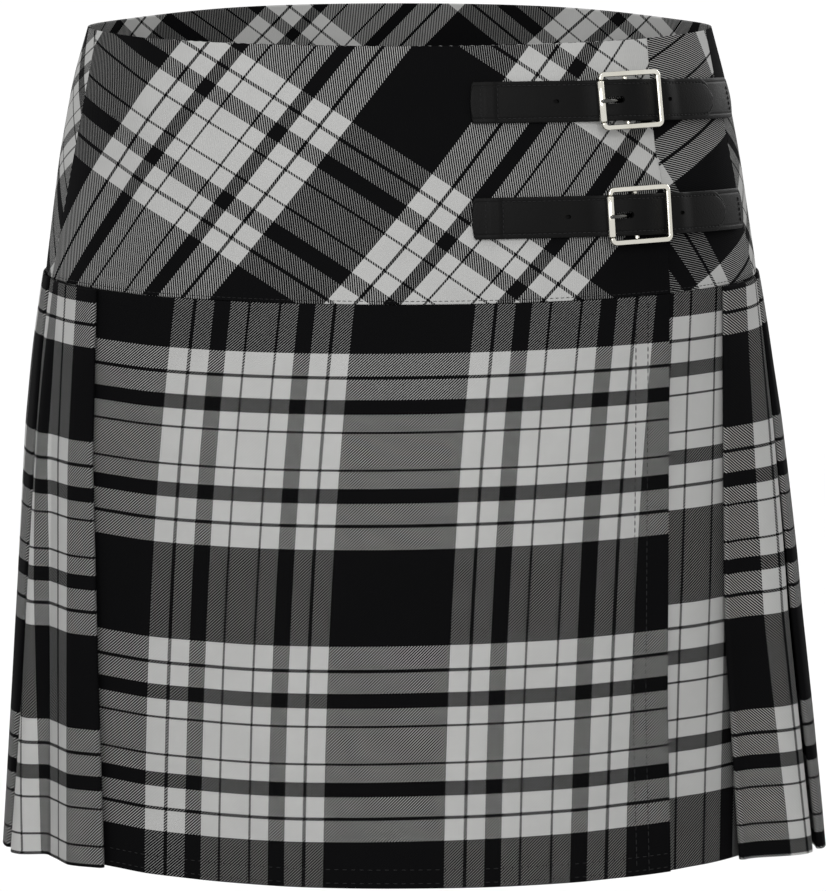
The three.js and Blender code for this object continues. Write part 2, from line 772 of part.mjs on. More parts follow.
// The buckle's frame: a rounded plate with one window, its left bar thinned to a rod for the roller,
// and a middle bar that hangs below the plate between two lugs.
function frameGeometry() {
  const { width, height, bar, thick, corner, bevel } = BUCKLE;
  const shape = roundedRectangle(new THREE.Shape(), 0, width, height, corner);
  const window = roundedRectangle(new THREE.Path(), 0, width - 2 * bar, height - 2 * bar, corner - bar / 2);
  shape.holes.push(window);
  const plate = new THREE.ExtrudeGeometry(shape, {
    depth: thick - 2 * bevel,
    bevelThickness: bevel,
    bevelSize: bevel,
    bevelOffset: -bevel,
    bevelSegments: 1,
    curveSegments: 4,
  });
  plate.translate(0, 0, -thick / 2 + bevel);
  const drop = FRAME_HEIGHT - BAR_HEIGHT;
  const lugHeight = drop + thick / 2 + BAR_RADIUS;
  let solid = toSolid(plate);
  const notch = new THREE.BoxGeometry(2 * bar, ROLLER.length + 2 * ROLLER.endPlay, 2 * thick);
  notch.translate(-END_BAR, 0, 0);
  solid = solid.subtract(toSolid(notch));
  const rodLength = ROLLER.length + 2 * ROD_INTO_CORNER;
  solid = solid.add(toSolid(uprightRod(-END_BAR, 0, ROLLER.bore - ROLLER.rodPlay, rodLength)));
  solid = solid.add(toSolid(uprightRod(0, -drop, BAR_RADIUS, height - bar)));
  for (const end of [-1, 1]) {
    const lug = new THREE.BoxGeometry(LUG.width, bar - LUG.thinner, lugHeight - 2 * LUG.inset);
    lug.translate(0, (end * (height - bar)) / 2, thick / 2 - lugHeight / 2 - LUG.inset);
    solid = solid.add(toSolid(lug));
  }
  return toGeometry(solid);
}

// The roller: a tube that turns on the frame's left bar.
function rollerGeometry() {
  const { radius, bore, length } = ROLLER;
  const half = length / 2;
  const profile = [
    new THREE.Vector2(bore, -half),
    new THREE.Vector2(radius, -half),
    new THREE.Vector2(radius, half),
    new THREE.Vector2(bore, half),
    new THREE.Vector2(bore, -half),
  ];
  const tube = new THREE.LatheGeometry(profile, 14);
  tube.translate(-END_BAR, 0, 0);
  return tube;
}

// The prong: a loop round the middle bar and a rod through the strap that rests on the roller.
function prongGeometry() {
  const drop = FRAME_HEIGHT - BAR_HEIGHT;
  const loopRadius = BAR_RADIUS + BAR_PLAY + PRONG_LOOP_RADIUS;
  const loop = new THREE.TorusGeometry(loopRadius, PRONG_LOOP_RADIUS, 6, 12);
  loop.rotateX(Math.PI / 2);
  loop.translate(0, 0, -drop);
  const rest = ROLLER.radius + PRONG_RADIUS + LEATHER_GAP;
  const from = (rows, x, z) => rows.map((row) => new THREE.Vector3(x + row.x, 0, z + row.z));
  const path = new THREE.CatmullRomCurve3([
    ...from(PRONG_LINE.loop, -loopRadius, -drop),
    ...from(PRONG_LINE.frame, 0, 0),
    ...from(PRONG_LINE.roller, -END_BAR, rest),
  ]);
  const ring = new THREE.Shape();
  ring.absarc(0, 0, PRONG_RADIUS, 0, 2 * Math.PI);
  const rod = new THREE.ExtrudeGeometry(ring, { steps: 12, extrudePath: path, curveSegments: 4 });
  return toGeometry(toSolid(loop).add(toSolid(rod)));
}

function onBuckle(strap, geometry) {
  const plan = strapPlan(strap);
  return geometry.applyMatrix4(seat(plan, plan.buckle, FRAME_HEIGHT));
}

function addPiece(group, name, geometry, look) {
  const mesh = new THREE.Mesh(geometry, new THREE.MeshStandardMaterial(look));
  mesh.name = name;
  group.add(mesh);
}

const skirt = new THREE.Group();
addPiece(skirt, 'yoke_over', overYoke(), CLOTH_LOOK);
addPiece(skirt, 'yoke_under', underYoke(), CLOTH_LOOK);
addPiece(skirt, 'yoke_back', backYoke(), CLOTH_LOOK);
addPiece(skirt, 'apron_over', overApron(), CLOTH_LOOK);
addPiece(skirt, 'apron_under', underApron(), CLOTH_LOOK);
addPiece(skirt, 'pleats_right', wall(SKIRT_ROWS, pleatLine('right')), CLOTH_LOOK);
addPiece(skirt, 'pleats_left', wall(SKIRT_ROWS, pleatLine('left')), CLOTH_LOOK);
for (const strap of STRAPS) {
  addPiece(skirt, `strap_${strap.name}`, strapGeometry(strap), LEATHER_LOOK);
  addPiece(skirt, `tab_${strap.name}`, slottedTab(strap), LEATHER_LOOK);
  addPiece(skirt, `buckle_${strap.name}`, onBuckle(strap, frameGeometry()), METAL_LOOK);
  addPiece(skirt, `roller_${strap.name}`, onBuckle(strap, rollerGeometry()), METAL_LOOK);
  addPiece(skirt, `prong_${strap.name}`, onBuckle(strap, prongGeometry()), METAL_LOOK);
}

export default skirt;
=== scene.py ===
# %% [markdown]
# # A pleated wrap skirt with two buckled straps
# This lesson dresses the solids of a tartan wrap skirt: a fitted yoke cut on the bias, two flat
# front aprons, knife pleats round the sides and back, and two leather straps with metal buckles.
# Cloth is a thin thing, so each sewn piece is one sheet, worked out as a grid of points on the
# body form that the solids also follow, and given the thickness of two pressed layers.

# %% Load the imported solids
import math

import bmesh
import bpy
import numpy as np
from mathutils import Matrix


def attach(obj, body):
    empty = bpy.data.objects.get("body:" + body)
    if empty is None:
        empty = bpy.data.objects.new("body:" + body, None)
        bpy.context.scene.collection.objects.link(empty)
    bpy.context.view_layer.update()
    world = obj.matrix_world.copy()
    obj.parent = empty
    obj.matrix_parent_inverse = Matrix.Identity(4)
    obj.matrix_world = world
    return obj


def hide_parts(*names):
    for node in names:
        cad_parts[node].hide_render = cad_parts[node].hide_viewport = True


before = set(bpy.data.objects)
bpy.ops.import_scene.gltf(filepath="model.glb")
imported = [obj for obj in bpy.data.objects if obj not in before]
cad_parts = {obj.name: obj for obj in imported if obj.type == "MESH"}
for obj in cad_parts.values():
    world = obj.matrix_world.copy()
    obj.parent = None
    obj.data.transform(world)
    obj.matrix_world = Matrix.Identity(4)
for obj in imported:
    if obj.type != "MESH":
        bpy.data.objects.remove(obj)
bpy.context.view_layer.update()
MM = 0.001
ROOT = "root"

# %% [markdown]
# ## Camera, floor and light
# The photograph looks down on the waist by about nine degrees from far off, so a long lens three
# metres away repeats its flat perspective. The skirt hangs in front of plain white: a pale floor
# well below the hem, and a white sky. Only camera rays see them at full white, because as much
# light from all round would wash the black cloth out.

# %% Camera
CAMERA_PLACE = (6.8, -3300.0, 330.0)
CAMERA_DOWN = 9.41
CAMERA_LENS = 262.9

camera_data = bpy.data.cameras.new("camera")
camera_data.lens = CAMERA_LENS
camera = bpy.data.objects.new("camera", camera_data)
camera.location = [c*MM for c in CAMERA_PLACE]
camera.rotation_euler = (math.radians(90 - CAMERA_DOWN), 0, 0)
bpy.context.scene.collection.objects.link(camera)
bpy.context.scene.camera = camera
bpy.context.scene.view_settings.view_transform = "Standard"
print("the camera is", round(math.dist(CAMERA_PLACE, (0, 0, 0))), "mm from the waist")


# %% Node helper
def add_node(tree, kind, place=(0, 0), **values):
    """A node of a kind, with its settings and the values of its named inputs."""
    node = tree.nodes.new(kind)
    node.location = (place[0]*200, place[1]*160)
    for name, value in values.items():
        socket = name.replace("_", " ")
        if socket in node.inputs:
            node.inputs[socket].default_value = value
        else:
            setattr(node, name, value)
    return node


def calculate(tree, operation, *inputs, place=(0, 0)):
    """A Math node whose inputs are sockets or numbers. It gives its output socket."""
    node = add_node(tree, "ShaderNodeMath", place, operation=operation)
    for i, value in enumerate(inputs):
        if isinstance(value, (int, float)):
            node.inputs[i].default_value = value
        else:
            tree.links.new(value, node.inputs[i])
    return node.outputs[0]


def noise(tree, coordinate, place, **values):
    """A noise texture at a coordinate. It gives its value socket."""
    node = add_node(tree, "ShaderNodeTexNoise", place, **values)
    tree.links.new(coordinate, node.inputs["Vector"])
    return node.outputs["Fac"]


def spread(tree, value, low, high, place, clamp=True):
    """Turn a value from 0 to 1 into one from low to high."""
    node = add_node(tree, "ShaderNodeMapRange", place, clamp=clamp, To_Min=low, To_Max=high)
    tree.links.new(value, node.inputs["Value"])
    return node.outputs["Result"]


def two_tone(tree, factor, dark, light, place):
    """A colour between a dark and a light one."""
    node = add_node(tree, "ShaderNodeMix", place, data_type="RGBA")
    node.inputs[6].default_value = (*dark, 1)
    node.inputs[7].default_value = (*light, 1)
    tree.links.new(factor, node.inputs["Factor"])
    return node.outputs[2]


def new_finish(name, **values):
    """A material whose shader's own sockets hold the constant values. It gives the material, its
    tree and a function that links a socket to one of the shader's inputs."""
    material = bpy.data.materials.new(name)
    material.use_nodes = True
    tree = material.node_tree
    shader = tree.nodes["Principled BSDF"]
    for socket, value in values.items():
        shader.inputs[socket.replace("_", " ")].default_value = value

    def feed(source, socket):
        tree.links.new(source, shader.inputs[socket])
    return material, tree, feed


def bumped(tree, height, place, **values):
    """The normal of a bump from a height."""
    node = add_node(tree, "ShaderNodeBump", place, **values)
    tree.links.new(height, node.inputs["Height"])
    return node.outputs["Normal"]


# %% Floor and sky
FLOOR_DROP = 900.0
FLOOR_REACH = 9000.0
FLOOR_SIDES = 64
WHITE_SEEN = 1.02
WHITE_MIRRORED = 0.75
SKY_LIGHT = 0.29


def camera_white(tree, shader_kind, output):
    """A white that camera rays see at full strength, reflections a little weaker, and the rest at
    the sky's own strength."""
    path = add_node(tree, "ShaderNodeLightPath")
    more = WHITE_MIRRORED - SKY_LIGHT
    mirrored = calculate(tree, "MULTIPLY_ADD", path.outputs["Is Glossy Ray"], more, SKY_LIGHT)
    total = calculate(tree, "MULTIPLY_ADD", path.outputs["Is Camera Ray"], WHITE_SEEN - SKY_LIGHT, mirrored)
    shader = add_node(tree, shader_kind, Color=(1, 1, 1, 1))
    tree.links.new(total, shader.inputs["Strength"])
    tree.links.new(shader.outputs[0], output)


floor_material = bpy.data.materials.new("pale_floor")
floor_material.use_nodes = True
floor_tree = floor_material.node_tree
floor_tree.nodes.remove(floor_tree.nodes["Principled BSDF"])
camera_white(floor_tree, "ShaderNodeEmission", floor_tree.nodes["Material Output"].inputs["Surface"])
floor_mesh = bpy.data.meshes.new("floor")
turns = np.linspace(0, 2*np.pi, FLOOR_SIDES, endpoint=False)
rim = np.stack([np.cos(turns)*FLOOR_REACH, np.sin(turns)*FLOOR_REACH, 0*turns - FLOOR_DROP], 1)
floor_mesh.from_pydata((rim*MM).tolist(), [], [list(range(FLOOR_SIDES))])
floor_mesh.materials.append(floor_material)
floor = bpy.data.objects.new("floor", floor_mesh)
bpy.context.scene.collection.objects.link(floor)

world = bpy.data.worlds.new("studio")
world.use_nodes = True
bpy.context.scene.world = world
world_tree = world.node_tree
world_tree.nodes.remove(world_tree.nodes["Background"])
camera_white(world_tree, "ShaderNodeBackground", world_tree.nodes["World Output"].inputs["Surface"])
print("the floor lies", FLOOR_DROP, "mm below the waist")


# %% Lamps
MIDDLE = (0, 0, -200)
WAIST = (0, 0, 0)
# Name, place, aim, size and power.
LAMPS = [
    ("key", (200, -2800, 900), MIDDLE, 1600, 36),
    ("fill", (-1800, -2200, 500), MIDDLE, 1400, 11),
    ("top", (0, -1100, 2300), WAIST, 1200, 8),
    ("rear_left", (-2000, 2000, 800), MIDDLE, 1500, 30),
    ("rear_right", (2000, 2000, 800), MIDDLE, 1500, 30),
]


def soft_lamp(name, place, aim, size, power):
    """A square area lamp at a place, turned to shine at a point. All in millimetres."""
    data = bpy.data.lights.new(name, "AREA")
    data.energy = power
    data.size = size*MM
    lamp = bpy.data.objects.new(name, data)
    away = np.array(place, float) - np.array(aim, float)
    lamp.location = [c*MM for c in place]
    level = math.hypot(away[0], away[1])
    lamp.rotation_euler = (math.atan2(level, away[2]), 0, math.atan2(away[0], -away[1]))
    bpy.context.scene.collection.objects.link(lamp)


for lamp_row in LAMPS:
    soft_lamp(*lamp_row)

# %% [markdown]
# ## The body form
# The real skirt hangs on a stand. Its form is given as level sections: how far it reaches to the
# left, right, front and back of the middle at each drop below the waist. Each quarter of a
# section is a quarter of an ellipse, and soft curves join the sections. Positions on the cloth
# are then a distance round the section from the middle of the front, and a lift off the form.

# %% Sections of the form
LENGTH = 418.0
YOKE_DEPTH = 126.0
PLEAT_TOP = 126.3
LAYER = 1.65
SECTIONS = [
    # drop, left, right, front, back
    (0, 158, 158, 105, 112),
    (26, 165.5, 165, 110, 118),
    (67, 173, 173, 115.5, 127),
    (126, 180.5, 182, 122, 138),
    (170, 183.5, 184, 126, 141),
    (211, 185.5, 187, 129, 144),
    (273, 187, 191.5, 132, 147),
    (336, 188.5, 193.5, 134, 149.5),
    (418, 190.5, 195, 136, 152),
]
LEFT, RIGHT, FRONT, BACK = 1, 2, 3, 4
SOFT_REACH = 14


def soft_curve(table, drop, column=1):
    """Value of a table's column at a drop: straight lines between its rows, run on past both
    ends, and averaged with a bell-shaped weight over SOFT_REACH to each side."""
    table = np.array(table, float)
    rows, values = table[:, 0], table[:, column]
    fine = np.arange(rows[0] - 3*SOFT_REACH, rows[-1] + 3*SOFT_REACH + 1.0)
    line = np.interp(fine, rows, values)
    line += (values[1] - values[0])/(rows[1] - rows[0])*np.minimum(fine - rows[0], 0)
    line += (values[-1] - values[-2])/(rows[-1] - rows[-2])*np.maximum(fine - rows[-1], 0)
    bell = np.hanning(2*SOFT_REACH + 3)[1:-1]
    smooth = np.convolve(line, bell/bell.sum(), mode="same")
    inside = slice(SOFT_REACH + 1, -SOFT_REACH - 1)
    return np.interp(drop, fine[inside], smooth[inside])


def smoothstep(share):
    """3t^2 - 2t^3, held at 0 and 1 outside."""
    share = np.clip(share, 0, 1)
    return share*share*(3 - 2*share)


print("half way to the hem the form reaches", soft_curve(SECTIONS, LENGTH/2, FRONT).round(1), "mm forwards")

# %% Places on the form
ANGLES = np.linspace(0, 2*np.pi, 721)


def form_point(drop, angle):
    """x = across sin(angle), y = -along cos(angle), with the outward direction of the ellipse."""
    sine, cosine = np.sin(angle), np.cos(angle)
    left, right, front, back = (soft_curve(SECTIONS, drop, k) for k in (LEFT, RIGHT, FRONT, BACK))
    across = np.where(sine > 0, right, left)
    along = np.where(cosine > 0, front, back)
    out_x, out_y = sine/across, -cosine/along
    size = np.hypot(out_x, out_y)
    return across*sine, -along*cosine, out_x/size, out_y/size


class Rings:
    """The form at a column of drops. Distances run round it from the middle of the front, and
    are less than nothing to the left."""

    def __init__(self, drops):
        self.drops = np.asarray(drops, float)[:, None]
        x, y, _, _ = form_point(self.drops, ANGLES[None, :])
        steps = np.hypot(np.diff(x, axis=1), np.diff(y, axis=1))
        self.lengths = np.hstack([np.zeros_like(self.drops), np.cumsum(steps, axis=1)])
        self.perimeter = self.lengths[:, -1:]

    def angle(self, distance):
        wrapped = np.mod(distance, self.perimeter)
        return np.stack([np.interp(w, l, ANGLES) for w, l in zip(wrapped, self.lengths)])

    def place(self, distance, lift, fall=0.0):
        """Points at distances, lifted off the form, and lowered by fall."""
        x, y, out_x, out_y = form_point(self.drops, self.angle(distance))
        z = np.broadcast_to(-self.drops - fall, x.shape)
        return np.stack([x + out_x*lift, y + out_y*lift, z], -1)

    def to_x(self, across, side):
        """Distance round the front to a point across from the middle, on a side."""
        reach = soft_curve(SECTIONS, self.drops, side)
        angle = np.arcsin(across/reach)
        if side == LEFT:
            far = [np.interp(2*np.pi - a, ANGLES, l) for a, l in zip(angle, self.lengths)]
            return self.perimeter - np.stack(far)
        return np.stack([np.interp(a, ANGLES, l) for a, l in zip(angle, self.lengths)])


print("round the waist and the hem:", Rings([0, LENGTH]).perimeter.round().ravel(), "mm")

# %% [markdown]
# ## Sheets of cloth
# A grid of points becomes a closed sheet: the same grid moved out and in by half the thickness,
# with a rim round it. A Solidify modifier does that, and it keeps the map of the flat cloth. The
# columns next to each edge stand close together, so a folded edge turns in half a millimetre.

# %% A sheet from a grid
CLOTH_THICK = 1.1
EDGE_ROW = 0.6


def shares(count, length):
    """Even steps from 0 to 1 with one narrow step at each end, for a size in millimetres."""
    narrow = EDGE_ROW/length
    return np.concatenate([[0, narrow], np.linspace(0, 1, count)[1:-1], [1 - narrow, 1]])


def spaced(start, stop, count):
    """Distances from one edge of a panel to the other, at each drop."""
    return start + (stop - start)*shares(count, float((stop - start).mean()))[None, :]


def grid_faces(rows, columns):
    """Corner numbers of the quads of a grid, anticlockwise seen from outside."""
    index = np.arange(rows*columns).reshape(rows, columns)
    corners = (index[:-1, :-1], index[1:, :-1], index[1:, 1:], index[:-1, 1:])
    return np.stack(corners, -1).reshape(-1, 4)


def new_mesh(name, points, faces, smooth=True):
    """A mesh object from an array of points in millimetres and an array of faces."""
    mesh = bpy.data.meshes.new(name)
    mesh.vertices.add(len(points))
    mesh.vertices.foreach_set("co", (points*MM).astype(np.float32).ravel())
    mesh.loops.add(faces.size)
    mesh.loops.foreach_set("vertex_index", faces.astype(np.int32).ravel())
    mesh.polygons.add(len(faces))
    sides = faces.shape[1]
    mesh.polygons.foreach_set("loop_start", np.arange(len(faces), dtype=np.int32)*sides)
    mesh.polygons.foreach_set("loop_total", np.full(len(faces), sides, np.int32))
    mesh.update(calc_edges=True)
    mesh.validate()
    mesh.polygons.foreach_set("use_smooth", np.full(len(faces), smooth))
    piece = bpy.data.objects.new(name, mesh)
    bpy.context.scene.collection.objects.link(piece)
    return piece


def cloth_sheet(name, points, warp, weft):
    """A sheet through a grid of points. Its UV map holds the place on the flat cloth, in metres:
    U counts across the warp stripes and V across the weft stripes."""
    rows, columns = points.shape[:2]
    faces = grid_faces(rows, columns)
    piece = new_mesh(name, points.reshape(-1, 3), faces)
    flat = np.stack([warp, weft], -1).reshape(-1, 2)*MM
    layer = piece.data.uv_layers.new(name="cloth")
    layer.data.foreach_set("uv", flat[faces.ravel()].astype(np.float32).ravel())
    wall = piece.modifiers.new("thickness", "SOLIDIFY")
    wall.thickness = CLOTH_THICK*MM
    wall.offset = 0
    print(name, "covers", round(cut_area(points), 4), "square metres")
    return piece


def cut_area(points):
    """Area of a grid of points in square metres: half the cross products of the diagonals."""
    across = points[1:, 1:] - points[:-1, :-1]
    down = points[1:, :-1] - points[:-1, 1:]
    return float(np.linalg.norm(np.cross(across, down), axis=-1).sum()/2*MM*MM)


print("a sheet is", CLOTH_THICK, "mm thick")

# %% [markdown]
# ## The tartan
# The cloth is a plain wool-like twill in black and white. Its sett, the order of the stripes, is
# the same both ways but slightly longer across the loom than along it. Where a white thread
# crosses a black one, the twill lets each show in slanting lines: the white weft over black warp
# shows more of itself than the white warp over black weft does, so there are two greys.
# One node group weaves it from the cloth's own coordinates, and each material sets only its
# slant, since the hidden face of the same cloth slants the other way.

# %% The sett
WARP_SETT = [8.9, 1.8, 8.9, 8.4, 8.9, 1.0, 14.4, 1.0, 8.9, 8.4, 8.9, 1.8, 8.9, 61.0]
WEFT_SETT = [11, 1.8, 10.6, 7.4, 8.6, 1.0, 18.2, 1.0, 8.6, 7.4, 10.6, 1.8, 11, 48.6]
WARP_REPEAT = sum(WARP_SETT)
WEFT_REPEAT = sum(WEFT_SETT)
TWILL_STEP = 1.55
THREAD_BLUR = 0.22
# Slips of the twill line, as a share of its step, and patches of paler or darker cloth.
WOBBLE, WOBBLE_SCALE = 0.1, 420.0
FADE, FADE_SCALE = 0.1, 38.0
print("the sett repeats after", round(WARP_REPEAT, 1), "by", round(WEFT_REPEAT, 1), "mm")


# %% Weave group
def stripes(tree, coordinate, sett, place):
    """1 in a white stripe and 0 in a black one: the coordinate is wrapped into one repeat, and a
    colour ramp with hard steps has white and black stripes in turn."""
    repeat = sum(sett)*MM
    share = calculate(tree, "DIVIDE", coordinate, repeat, place=place)
    wrapped = calculate(tree, "FRACT", share, place=(place[0] + 1, place[1]))
    ramp = add_node(tree, "ShaderNodeValToRGB", (place[0] + 2, place[1]))
    ramp.color_ramp.interpolation = "CONSTANT"
    points = ramp.color_ramp.elements
    starts = np.cumsum([0] + sett[:-1])/sum(sett)
    for i, start in enumerate(starts):
        point = points[i] if i < 2 else points.new(start)
        point.position = start
        shade = 1 - i % 2
        point.color = (shade, shade, shade, 1)
    tree.links.new(wrapped, ramp.inputs["Fac"])
    return ramp.outputs["Color"]


def soft_step(tree, value, edge, way, place):
    """0.5 + way*(value - edge)/(2*THREAD_BLUR), held between 0 and 1."""
    past = calculate(tree, "SUBTRACT", value, edge, place=place)
    below = (place[0], place[1] - 0.5)
    scaled = calculate(tree, "MULTIPLY_ADD", past, way/(2*THREAD_BLUR), 0.5, place=below)
    clamp = add_node(tree, "ShaderNodeClamp", (place[0] + 1, place[1]))
    tree.links.new(scaled, clamp.inputs["Value"])
    return clamp.outputs["Result"]


def group_socket(group, name, kind, way, default=None):
    socket = group.interface.new_socket(name=name, in_out=way, socket_type=kind)
    if default is not None:
        socket.default_value = default


def twill_wave(group, flat, u, v, slant):
    """The wave |2 fract((u + slant v)/step) - 1| along slanting lines that slip a little."""
    wobble = noise(group, flat, (-7, 5), Scale=WOBBLE_SCALE, Detail=2.0)
    slanted = calculate(group, "MULTIPLY", v, slant, place=(-5, 0))
    along = calculate(group, "ADD", u, slanted, place=(-4, 0))
    turns = calculate(group, "DIVIDE", along, TWILL_STEP*MM, place=(-3, 0))
    loose = calculate(group, "MULTIPLY_ADD", wobble, WOBBLE, turns, place=(-2, 0))
    saw = calculate(group, "FRACT", loose, place=(-1, 0))
    centred = calculate(group, "MULTIPLY_ADD", saw, 2.0, -1.0, place=(0, 0))
    return calculate(group, "ABSOLUTE", centred, place=(1, 0))


def white_share(group, warp, weft, wave, warp_shows, weft_shows):
    """White shows where both threads are white, where a white warp is on top, and where a white
    weft is on top."""
    warp_top = soft_step(group, wave, warp_shows, -1, place=(2, 1))
    weft_edge = calculate(group, "SUBTRACT", 1.0, weft_shows, place=(2, -1))
    weft_top = soft_step(group, wave, weft_edge, 1, place=(3, -1))
    both = calculate(group, "MULTIPLY", warp, weft, place=(3, 3))
    warp_white = calculate(group, "MULTIPLY", warp, warp_top, place=(4, 2))
    weft_white = calculate(group, "MULTIPLY", weft, weft_top, place=(4, 0))
    either = calculate(group, "MAXIMUM", warp_white, weft_white, place=(5, 1))
    return calculate(group, "MAXIMUM", either, both, place=(6, 1))


def build_tartan():
    """Colour and height of the twill. Its wave is low where the warp lies on top and high where
    the weft does."""
    group = bpy.data.node_groups.new("tartan_twill", "ShaderNodeTree")
    for name, default in (("Slant", 1.0), ("Warp shows", 0.13), ("Weft shows", 0.29)):
        group_socket(group, name, "NodeSocketFloat", "INPUT", default)
    group_socket(group, "White yarn", "NodeSocketColor", "INPUT", (0.58, 0.58, 0.57, 1))
    group_socket(group, "Black yarn", "NodeSocketColor", "INPUT", (0.0052, 0.0052, 0.0056, 1))
    group_socket(group, "Color", "NodeSocketColor", "OUTPUT")
    group_socket(group, "Height", "NodeSocketFloat", "OUTPUT")
    start = add_node(group, "NodeGroupInput", (-8, 0))
    end = add_node(group, "NodeGroupOutput", (10, 0))
    flat = add_node(group, "ShaderNodeUVMap", (-8, 3), uv_map="cloth").outputs["UV"]
    parts = add_node(group, "ShaderNodeSeparateXYZ", (-7, 3))
    group.links.new(flat, parts.inputs[0])
    u, v = parts.outputs["X"], parts.outputs["Y"]
    warp = stripes(group, u, WARP_SETT, (-5, 4))
    weft = stripes(group, v, WEFT_SETT, (-5, 2))
    wave = twill_wave(group, flat, u, v, start.outputs["Slant"])
    shows = start.outputs["Warp shows"], start.outputs["Weft shows"]
    white = white_share(group, warp, weft, wave, *shows)
    mix = add_node(group, "ShaderNodeMix", (7, 1), data_type="RGBA")
    group.links.new(white, mix.inputs["Factor"])
    group.links.new(start.outputs["Black yarn"], mix.inputs[6])
    group.links.new(start.outputs["White yarn"], mix.inputs[7])
    fade = noise(group, flat, (5, 5), Scale=FADE_SCALE, Detail=6.0, Roughness=0.65)
    shade = spread(group, fade, 1 - FADE, 1 + FADE, (6, 5), clamp=False)
    tone = add_node(group, "ShaderNodeVectorMath", (8, 1), operation="SCALE")
    group.links.new(mix.outputs[2], tone.inputs[0])
    group.links.new(shade, tone.inputs["Scale"])
    group.links.new(tone.outputs[0], end.inputs["Color"])
    group.links.new(wave, end.inputs["Height"])
    return group


tartan = build_tartan()
print("the weave group has", len(tartan.nodes), "nodes")

# %% Cloth materials
TWILL_RELIEF = 0.12


def cloth_material(name, slant):
    """Matt cloth with the twill's colour and a bump of its slanting ridges."""
    material, tree, feed = new_finish(name, Roughness=0.95, Specular_IOR_Level=0.03)
    weave = add_node(tree, "ShaderNodeGroup", (-3, 0), node_tree=tartan)
    weave.inputs["Slant"].default_value = slant
    feed(weave.outputs["Color"], "Base Color")
    feed(bumped(tree, weave.outputs["Height"], (-1, -1), Distance=TWILL_RELIEF*MM, Strength=0.6), "Normal")
    return material


right_slant = cloth_material("tartan_face", -1.0)
left_slant = cloth_material("tartan_back", 1.0)
print("cloth materials:", right_slant.name, left_slant.name)

# %% [markdown]
# ## Creases
# Worn cloth is never quite even. Instead of a simulation, which would also move the pleats, soft
# troughs and ridges are placed one by one: each is a bell-shaped groove along a slanting line, which
# fades out at both of its ends. The hidden sides get some as well.

# %% Crease helper
def creases(distance, drops, lines):
    """Sum of depth*exp(-(a/width)^2)*exp(-(b/reach)^2), where b runs along a line from its middle
    and a across it. A line is (distance, drop, slant in degrees off upright, width, reach, depth)."""
    total = np.zeros(np.broadcast(distance, drops).shape)
    for middle, height, slant, width, reach, depth in lines:
        sine, cosine = math.sin(math.radians(slant)), math.cos(math.radians(slant))
        across = (distance - middle)*cosine - (drops - height)*sine
        along = (distance - middle)*sine + (drops - height)*cosine
        total = total + depth*np.exp(-(across/width)**2 - (along/reach)**2)
    return total


OVER_YOKE_CREASES = [(-118, 70, 35, 9, 40, -0.5), (-60, 96, 62, 10, 60, 0.45), (30, 84, -50, 8, 48, -0.4),
                     (74, 56, 20, 7, 30, 0.4), (-20, 30, 80, 9, 70, -0.35)]
UNDER_YOKE_CREASES = [(170, 62, -25, 7, 36, -0.5), (150, 106, 60, 8, 30, 0.45), (60, 60, 10, 12, 60, -0.5)]
BACK_YOKE_CREASES = [(-90, 60, 40, 11, 50, -0.6), (20, 84, -30, 10, 60, 0.5), (120, 50, 15, 9, 42, -0.5)]
OVER_APRON_CREASES = [(-104, 330, -6, 15, 110, -1.1), (-58, 372, 9, 20, 90, 1.0),
                      (14, 356, -4, 24, 100, -0.9), (82, 300, 7, 16, 120, 0.9),
                      (112, 392, -10, 12, 70, -0.8), (-20, 200, 70, 22, 90, -0.4),
                      (60, 216, -64, 18, 80, 0.4)]
UNDER_APRON_CREASES = [(150, 350, 5, 9, 110, -1.0), (166, 240, -7, 8, 90, 0.6), (40, 330, -8, 22, 120, 1.1)]
RIGHT_PLEAT_CREASES = [(190, 300, 4, 8, 90, -1.0), (236, 340, -5, 10, 90, 0.9), (300, 280, 6, 9, 110, -0.9),
                       (352, 360, -4, 10, 80, 0.9), (420, 250, 5, 9, 100, -0.8), (500, 330, -6, 10, 90, 0.9)]
LEFT_PLEAT_CREASES = [(212, 330, -6, 9, 100, -0.9), (262, 300, 5, 9, 90, 0.9), (330, 350, -4, 10, 90, -0.9),
                      (392, 270, 6, 9, 90, 0.8), (452, 350, -5, 10, 80, -0.8)]
print("creases on the over apron:", len(OVER_APRON_CREASES))

# %% [markdown]
# ## The yoke
# The fitted part from waist to hip is cut on the bias, so its stripes run as a lattice. Three
# pieces go round: the over yoke across the front, the under yoke beneath it that the buckles are
# sewn to, and the back yoke. On bias cloth the two thread directions shear as the cloth is eased
# over the hips, so the place on the flat cloth is a gentle curve of the distance round the form
# and the drop: a start, a slope across, a slope down, and small bows.

# %% Where a panel lies on the flat cloth
YOKE_SPAN = (150.0, 126.0)
SKIRT_SPAN = (150.0, 290.0)
SLOPE_STEP = 0.01


def on_flat(bows, across, down):
    """Sum of bow values times powers of the two shares. The key "02" is down squared."""
    total = np.zeros(np.broadcast(across, down).shape)
    for powers, value in bows.items():
        total = total + value*across**int(powers[0])*down**int(powers[1])
    return total


def bias_map(distance, drops, bows, seen):
    """Warp and weft millimetres of a yoke panel, from its shares of the yoke's spans. The bows
    hold where a panel is seen, and beyond that range each goes straight on."""
    across, down = distance/YOKE_SPAN[0], drops/YOKE_SPAN[1]
    inside = np.clip(across, *seen)
    flat = []
    for bow in bows:
        rise = on_flat(bow, inside + SLOPE_STEP, down) - on_flat(bow, inside - SLOPE_STEP, down)
        slope = rise/(2*SLOPE_STEP)
        flat.append(on_flat(bow, inside, down) + slope*(across - inside))
    return flat


